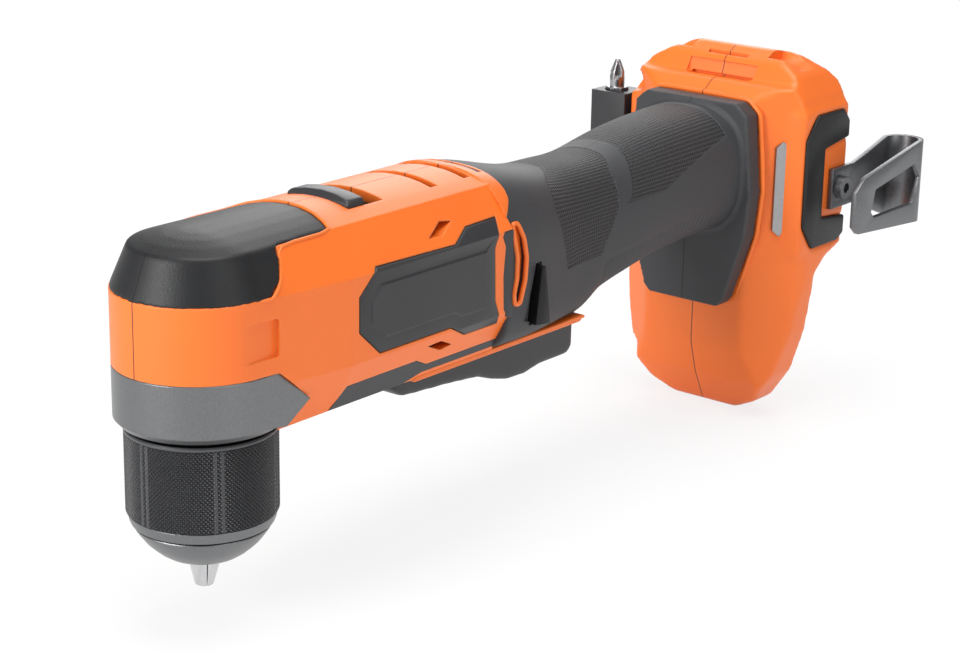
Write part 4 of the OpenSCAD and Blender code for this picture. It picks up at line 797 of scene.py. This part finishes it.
slot_outline = [
    (-0.0922, 0.0794), (-0.0946, 0.0792), (-0.0965, 0.075), (-0.0975, 0.0694), (-0.097, 0.0632),
    (-0.0948, 0.057), (-0.0924, 0.0573), (-0.0919, 0.06), (-0.093, 0.0642), (-0.0932, 0.0704),
    (-0.0921, 0.076)]
bar_outline = [(-0.1008, 0.0492), (-0.1032, 0.0659), (-0.1054, 0.0659), (-0.108, 0.0484)]
wedge_outline = [(-0.098, 0.0512), (-0.1028, 0.0664), (-0.1056, 0.0664), (-0.1086, 0.0482)]
bay_outline = [(-0.136, 0.02), (-0.08, 0.02), (-0.08, 0.0503), (-0.136, 0.0503)]
past_handle_y = 0.04
wedge_floor_y = 0.0228
bay_half_width = 0.0144
cut_out(handle, cutter("slot_cutter", slot_outline, -past_handle_y, past_handle_y))
cut_out(handle, cutter("bar_cutter", bar_outline, -past_handle_y, past_handle_y))
for _, facing in both_sides:
    cut_out(handle, cutter("wedge_cutter", wedge_outline, facing * wedge_floor_y, facing * past_handle_y))
cut_out(handle, cutter("bay_cutter", bay_outline, -bay_half_width, bay_half_width))
smooth_shade(handle, 40)

# The grip pattern gives the height of the woven mesh on the handle's panels, and a mask of painted shade in the
# pits of that mesh.
grip_pattern, pattern_in, pattern_out = node_group("grip_pattern", ["Vector"], [], ["Height", "PitShade"])
pattern_axes = grip_pattern.nodes.new("ShaderNodeSeparateXYZ")
grip_pattern.links.new(pattern_in.outputs["Vector"], pattern_axes.inputs["Vector"])
along, sideways, upward = pattern_axes.outputs


def pattern(operation, first, second=None):
    return calc(grip_pattern, operation, first, second)


def edge_curve(value, points):
    in_low, in_high = points[0][0], points[-1][0]
    out_low = min(point[1] for point in points)
    out_high = max(point[1] for point in points)
    node = grip_pattern.nodes.new("ShaderNodeFloatCurve")
    curve = node.mapping.curves[0]
    for place, height in points[1:-1]:
        curve.points.new((place - in_low) / (in_high - in_low), (height - out_low) / (out_high - out_low))
    curve.points[0].location = (0.0, (points[0][1] - out_low) / (out_high - out_low))
    curve.points[-1].location = (1.0, (points[-1][1] - out_low) / (out_high - out_low))
    for point in curve.points:
        point.handle_type = "VECTOR"
    node.mapping.update()
    grip_pattern.links.new(ranged(grip_pattern, value, in_low, in_high), node.inputs["Value"])
    return ranged(grip_pattern, node.outputs["Value"], 0.0, 1.0, out_low, out_high)


front_edge = edge_curve(upward, [
    (0.0585, -0.122), (0.06, -0.1215), (0.0784, -0.116), (0.082, -0.118), (0.0841, -0.1208),
    (0.0856, -0.132)])
band_front = edge_curve(upward, [
    (0.0585, -0.139), (0.0602, -0.14), (0.0722, -0.1485), (0.0816, -0.1508), (0.0856, -0.156)])
band_rear = edge_curve(upward, [
    (0.0716, -0.1502), (0.074, -0.1548), (0.0806, -0.158), (0.0863, -0.1618), (0.0885, -0.165)])
rear_low = edge_curve(along, [
    (-0.205, 0.0835), (-0.195, 0.081), (-0.182, 0.077), (-0.171, 0.0732), (-0.1548, 0.0725)])
front_in = pattern("MINIMUM", pattern("SUBTRACT", front_edge, along), pattern("SUBTRACT", along, band_front))
front_in = pattern("MINIMUM", front_in, pattern("SUBTRACT", upward, 0.06))
rear_in = pattern("MINIMUM", pattern("SUBTRACT", band_rear, along), pattern("SUBTRACT", upward, rear_low))
rear_in = pattern("MINIMUM", rear_in, pattern("ADD", along, 0.205))
in_panel = ranged(grip_pattern, pattern("MAXIMUM", front_in, rear_in), 0.0, 0.0005)
mesh_pitch = 0.0011
handle_axis_z = 0.067
handle_radius = 0.02
round_turn = pattern("ARCTAN2", pattern("SUBTRACT", upward, handle_axis_z), sideways)
lengthwise = pattern("MULTIPLY", along, 2 * math.pi / mesh_pitch)
crosswise = pattern("MULTIPLY", round_turn, 2 * math.pi * handle_radius / mesh_pitch)
weave = pattern("MULTIPLY", pattern("SINE", pattern("MULTIPLY", lengthwise, 0.5)),
                pattern("SINE", pattern("MULTIPLY", crosswise, 0.5)))
weave = pattern("ABSOLUTE", weave)
pit = pattern("MULTIPLY", in_panel, ranged(grip_pattern, weave, 0.15, 0.75))
sunk = pattern("ADD", pattern("MULTIPLY", in_panel, 0.6), pit)
grip_pattern.links.new(pattern("SUBTRACT", 1.6, sunk), pattern_out.inputs["Height"])
grip_pattern.links.new(pit, pattern_out.inputs["PitShade"])

rubber_look = (
    (0.029, 0.03, 0.033), (0.04, 0.041, 0.045), (0.075, 0.076, 0.08), (0.004, 0.004, 0.004),
    0.58, 1700.0, 0.00005)
grip_rubber = moulding("grip_rubber", *rubber_look)
grip_tree = grip_rubber.node_tree
grip_place = grip_tree.nodes.new("ShaderNodeTexCoord")
grip_print = placed(grip_tree, grip_pattern)
grip_tree.links.new(grip_place.outputs["Object"], grip_print.inputs["Vector"])
grip_bump = grip_tree.nodes.new("ShaderNodeBump")
grip_bump.inputs["Distance"].default_value = 0.0004
grip_tree.links.new(grip_print.outputs["Height"], grip_bump.inputs["Height"])
grip_normal = grip_tree.nodes["Principled BSDF"].inputs["Normal"]
grip_tree.links.new(grip_normal.links[0].from_socket, grip_bump.inputs["Normal"])
grip_tree.links.new(grip_bump.outputs["Normal"], grip_normal)
# Painted shade: the pits of the woven mesh are darkened in colour, on top of being sunk by the bump.
painted_light_over(grip_rubber, grip_print.outputs["PitShade"], (0.006, 0.006, 0.007))
fix(handle, grip_rubber, "drill", "soft", "grip_left", "grip_right")


# Skirt and laps: the rubber strip under the body above the trigger, and the wavy edge lapped over its sides.
# Both belong to the same moulding as the handle skin and lie flush with the housing.
black_rubber = moulding("black_rubber", *rubber_look)
skirt_end_x = -0.0908
lap_root_y = 0.0235
lap_face_y = 0.02495
for side, facing in both_sides:
    skirt = copied_shape("skirt_" + side, "grip_" + side)
    cut_away(skirt, skirt_end_x, -1.0)
    smooth_shade(skirt, 30)
    fix(skirt, black_rubber, "drill", "soft")
    lap = cutter("lap_" + side, wave_outline, facing * lap_root_y, facing * lap_face_y)
    softened(lap, width=0.0004, segments=2)
    smooth_shade(lap, 40)
    fix(lap, black_rubber, "drill", "soft")


# Rear hood: the top of the orange housing runs back over the neck and carries one more crosswise slot.
# It is a thin nylon shell that follows the neck and stands a little proud of the rubber.
hood_outline = [(-0.0905, 0.0815), (-0.0905, 0.096), (-0.0968, 0.096), (-0.0955, 0.0875), (-0.0945, 0.0853)]
hood_slot_outline = [(-0.0952, 0.0885), (-0.0932, 0.0885), (-0.0932, 0.096), (-0.0952, 0.096)]
hood_slot_half_width = 0.0105
hood = lofted("rear_hood", inset=0.0, overrun=0.0)
cut_out(hood, cutter("hood_block", hood_outline, -past_handle_y, past_handle_y), "INTERSECT")
whole(hood, bpy.ops.transform.shrink_fatten, value=0.00025)
cut_out(hood, lofted("hood_hollow", inset=0.0012, overrun=0.012))
cut_out(hood, cutter("hood_slot", hood_slot_outline, -hood_slot_half_width, hood_slot_half_width))
smooth_shade(hood, 35)
fix(hood, orange_nylon, "drill", "housing")


# Vent frames: an orange frame round the tall vent on each side of the neck, with a core showing inside.
# Both are nylon and part of the housing halves, which come through the rubber there.
def skin_y(x, z):
    before = max((s for s in handle_sections if s[0] <= x), key=lambda s: s[0])
    after = min((s for s in handle_sections if s[0] >= x), key=lambda s: s[0])
    share = (x - before[0]) / (after[0] - before[0])
    top, bottom, half_width, upper, lower = [a + (b - a) * share for a, b in zip(before[1:], after[1:])]
    offset = (z - (top + bottom) / 2) / ((top - bottom) / 2)
    power = upper if offset > 0 else lower
    return half_width * (1.0 - abs(offset) ** power) ** (1.0 / power)


frame_proud = 0.0001
core_root_y = 0.0205
core_face_y = 0.0231
for side, facing in both_sides:
    frame_path = [(x, facing * (skin_y(x, z) + frame_proud), z) for x, z in slot_outline]
    vent_frame = swept_ring("vent_frame_" + side, frame_path + frame_path[:1], 0.00075)
    fix(vent_frame, orange_nylon, "drill", "housing")
    vent_core = cutter("vent_core_" + side, slot_outline, facing * core_root_y, facing * core_face_y)
    softened(vent_core, width=0.0003, segments=2)
    smooth_shade(vent_core, 30)
    fix(vent_core, orange_nylon, "drill", "housing")


# Trigger: a long black nylon paddle under the body, hinged at its front end and pressed by the hand.
# Its edges are well rounded so that it does not bite the fingers.
palm_top_z = 0.041
trigger_paddle = copied_shape("trigger_paddle", "trigger")
apply_modifier(trigger_paddle, "REMESH", mode="VOXEL", voxel_size=0.0005)
palm_side = trigger_paddle.vertex_groups.new(name="palm_side")
low_points = [vertex.index for vertex in trigger_paddle.data.vertices if vertex.co.z < palm_top_z]
palm_side.add(low_points, 1.0, "REPLACE")
apply_modifier(trigger_paddle, "SMOOTH", factor=0.5, iterations=60, vertex_group="palm_side")
apply_modifier(trigger_paddle, "DECIMATE", decimate_type="COLLAPSE", ratio=0.3)
smooth_shade(trigger_paddle, 40)
fix(trigger_paddle, black_nylon, "trigger", "black", "trigger")


# Direction bar: a glossy black nylon crossbar that slides through the neck from either side.
# Its ends are small upright wedges with polished faces.
polished_nylon = moulding(
    "polished_nylon", (0.004, 0.004, 0.0045), (0.008, 0.008, 0.009), (0.03, 0.03, 0.032),
    (0.004, 0.004, 0.0045), 0.2, 900.0, 0.000004, 0.0003, specular=0.2)
crossbar = bevelled("crossbar", "direction_bar", width=0.0004, segments=3)
smooth_shade(crossbar, 40)
fix(crossbar, polished_nylon, "direction", "black", "direction_bar")


# Speed knob: a black nylon slider on top of the body, which moves the shift fork below it.
# Its top is arched across, and its edges are softened. The fork is satin steel and shows in the window.
slider = bevelled("slider", "speed_knob", width=0.0005, segments=3)
smooth_shade(slider, 40)
fix(slider, black_nylon, "speed", "black", "speed_knob")
satin_grey = metal("satin_grey", (0.2, 0.203, 0.21), (0.3, 0.303, 0.31), 0.36, even, 0.000006)
paint("shift_fork", satin_grey)


# Lamp, boards and switch: a small clear lens under the head over its board, the control board in the
# handle, the switch behind the trigger, the motor's fan and the plate that carries the battery blades.
# The lens is moulded acrylic, the boards carry a green resist, and the rest is black nylon.
lens_resin = moulding(
    "lens_resin", (0.6, 0.6, 0.57), (0.68, 0.68, 0.65), (0.75, 0.75, 0.72), (0.6, 0.6, 0.57),
    0.12, 600.0, 0.000005)
paint("led_lens", lens_resin)
board_resist = moulding(
    "board_resist", (0.01, 0.08, 0.03), (0.015, 0.1, 0.04), (0.03, 0.14, 0.06), (0.015, 0.1, 0.04),
    0.35, 900.0, 0.00001)
for name in ("control_board", "led_board"):
    paint(name, board_resist)
for name in ("fan", "switch_body", "bay_plate"):
    paint(name, black_nylon)


# Foot fittings: a bare grey strip on each side of the foot, and black rubber pads let into its flanks.
# The strips are thin painted metal, and the pads have rounded corners so that the drill can be laid down.
strip_grey = metal("strip_grey", (0.3, 0.3, 0.305), (0.4, 0.4, 0.405), 0.42, even, 0.000006)
for side, _ in both_sides:
    paint("badge_" + side, strip_grey)
    pad = bevelled("rest_pad_" + side, "pad_" + side, width=0.0007, segments=3)
    smooth_shade(pad, 40)
    fix(pad, dark_rubber, "drill", "soft", "pad_" + side)


# Belt clip: a sprung strip of satin steel, bent out from the foot and held by one screw.
# It is pressed from sheet, so every edge is slightly rolled. The screws and battery blades match it.
satin_steel = metal("satin_steel", (0.15, 0.153, 0.16), (0.23, 0.234, 0.243), 0.42, even, 0.000006)
hook = bevelled("hook", "belt_clip", width=0.0003, segments=2)
smooth_shade(hook, 40)
fix(hook, satin_steel, "drill", "clip", "belt_clip")
for name in ("clip_screw", "holder_screw", "housing_screws", "terminals"):
    paint(name, satin_steel)


# Bit holder: a black nylon block on the other flank of the foot, with a spare screwdriver bit clipped in it.
# The block is screwed on like the clip, and the bit is hardened steel that can be drawn upwards.
# Four flutes are cut into its tip, which leave a cross.
block = bevelled("block", "bit_holder", width=0.0006, segments=3)
smooth_shade(block, 40)
fix(block, black_nylon, "drill", "black", "bit_holder")
hard_steel = metal("hard_steel", (0.3, 0.3, 0.31), (0.45, 0.45, 0.46), 0.28, (1.0, 1.0, 0.1), 0.000004)
cross_point = copied_shape("cross_point", "driver_bit")
bit_low, bit_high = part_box("driver_bit")
bit_x = (bit_low.x + bit_high.x) / 2
bit_y = (bit_low.y + bit_high.y) / 2
flute_near_y = 0.0006
past_bit = 0.005
for sx in (1.0, -1.0):
    flute_outline = [
        (bit_x + sx * 0.0007, bit_high.z - 0.0052), (bit_x + sx * past_bit, bit_high.z - 0.009),
        (bit_x + sx * past_bit, bit_high.z + 0.001), (bit_x + sx * 0.0004, bit_high.z + 0.001)]
    for sy in (1.0, -1.0):
        flute = cutter("flute_cutter", flute_outline, bit_y + sy * flute_near_y, bit_y + sy * past_bit)
        cut_out(cross_point, flute)
smooth_shade(cross_point, 30)
fix(cross_point, hard_steel, "bit", "steel", "driver_bit")
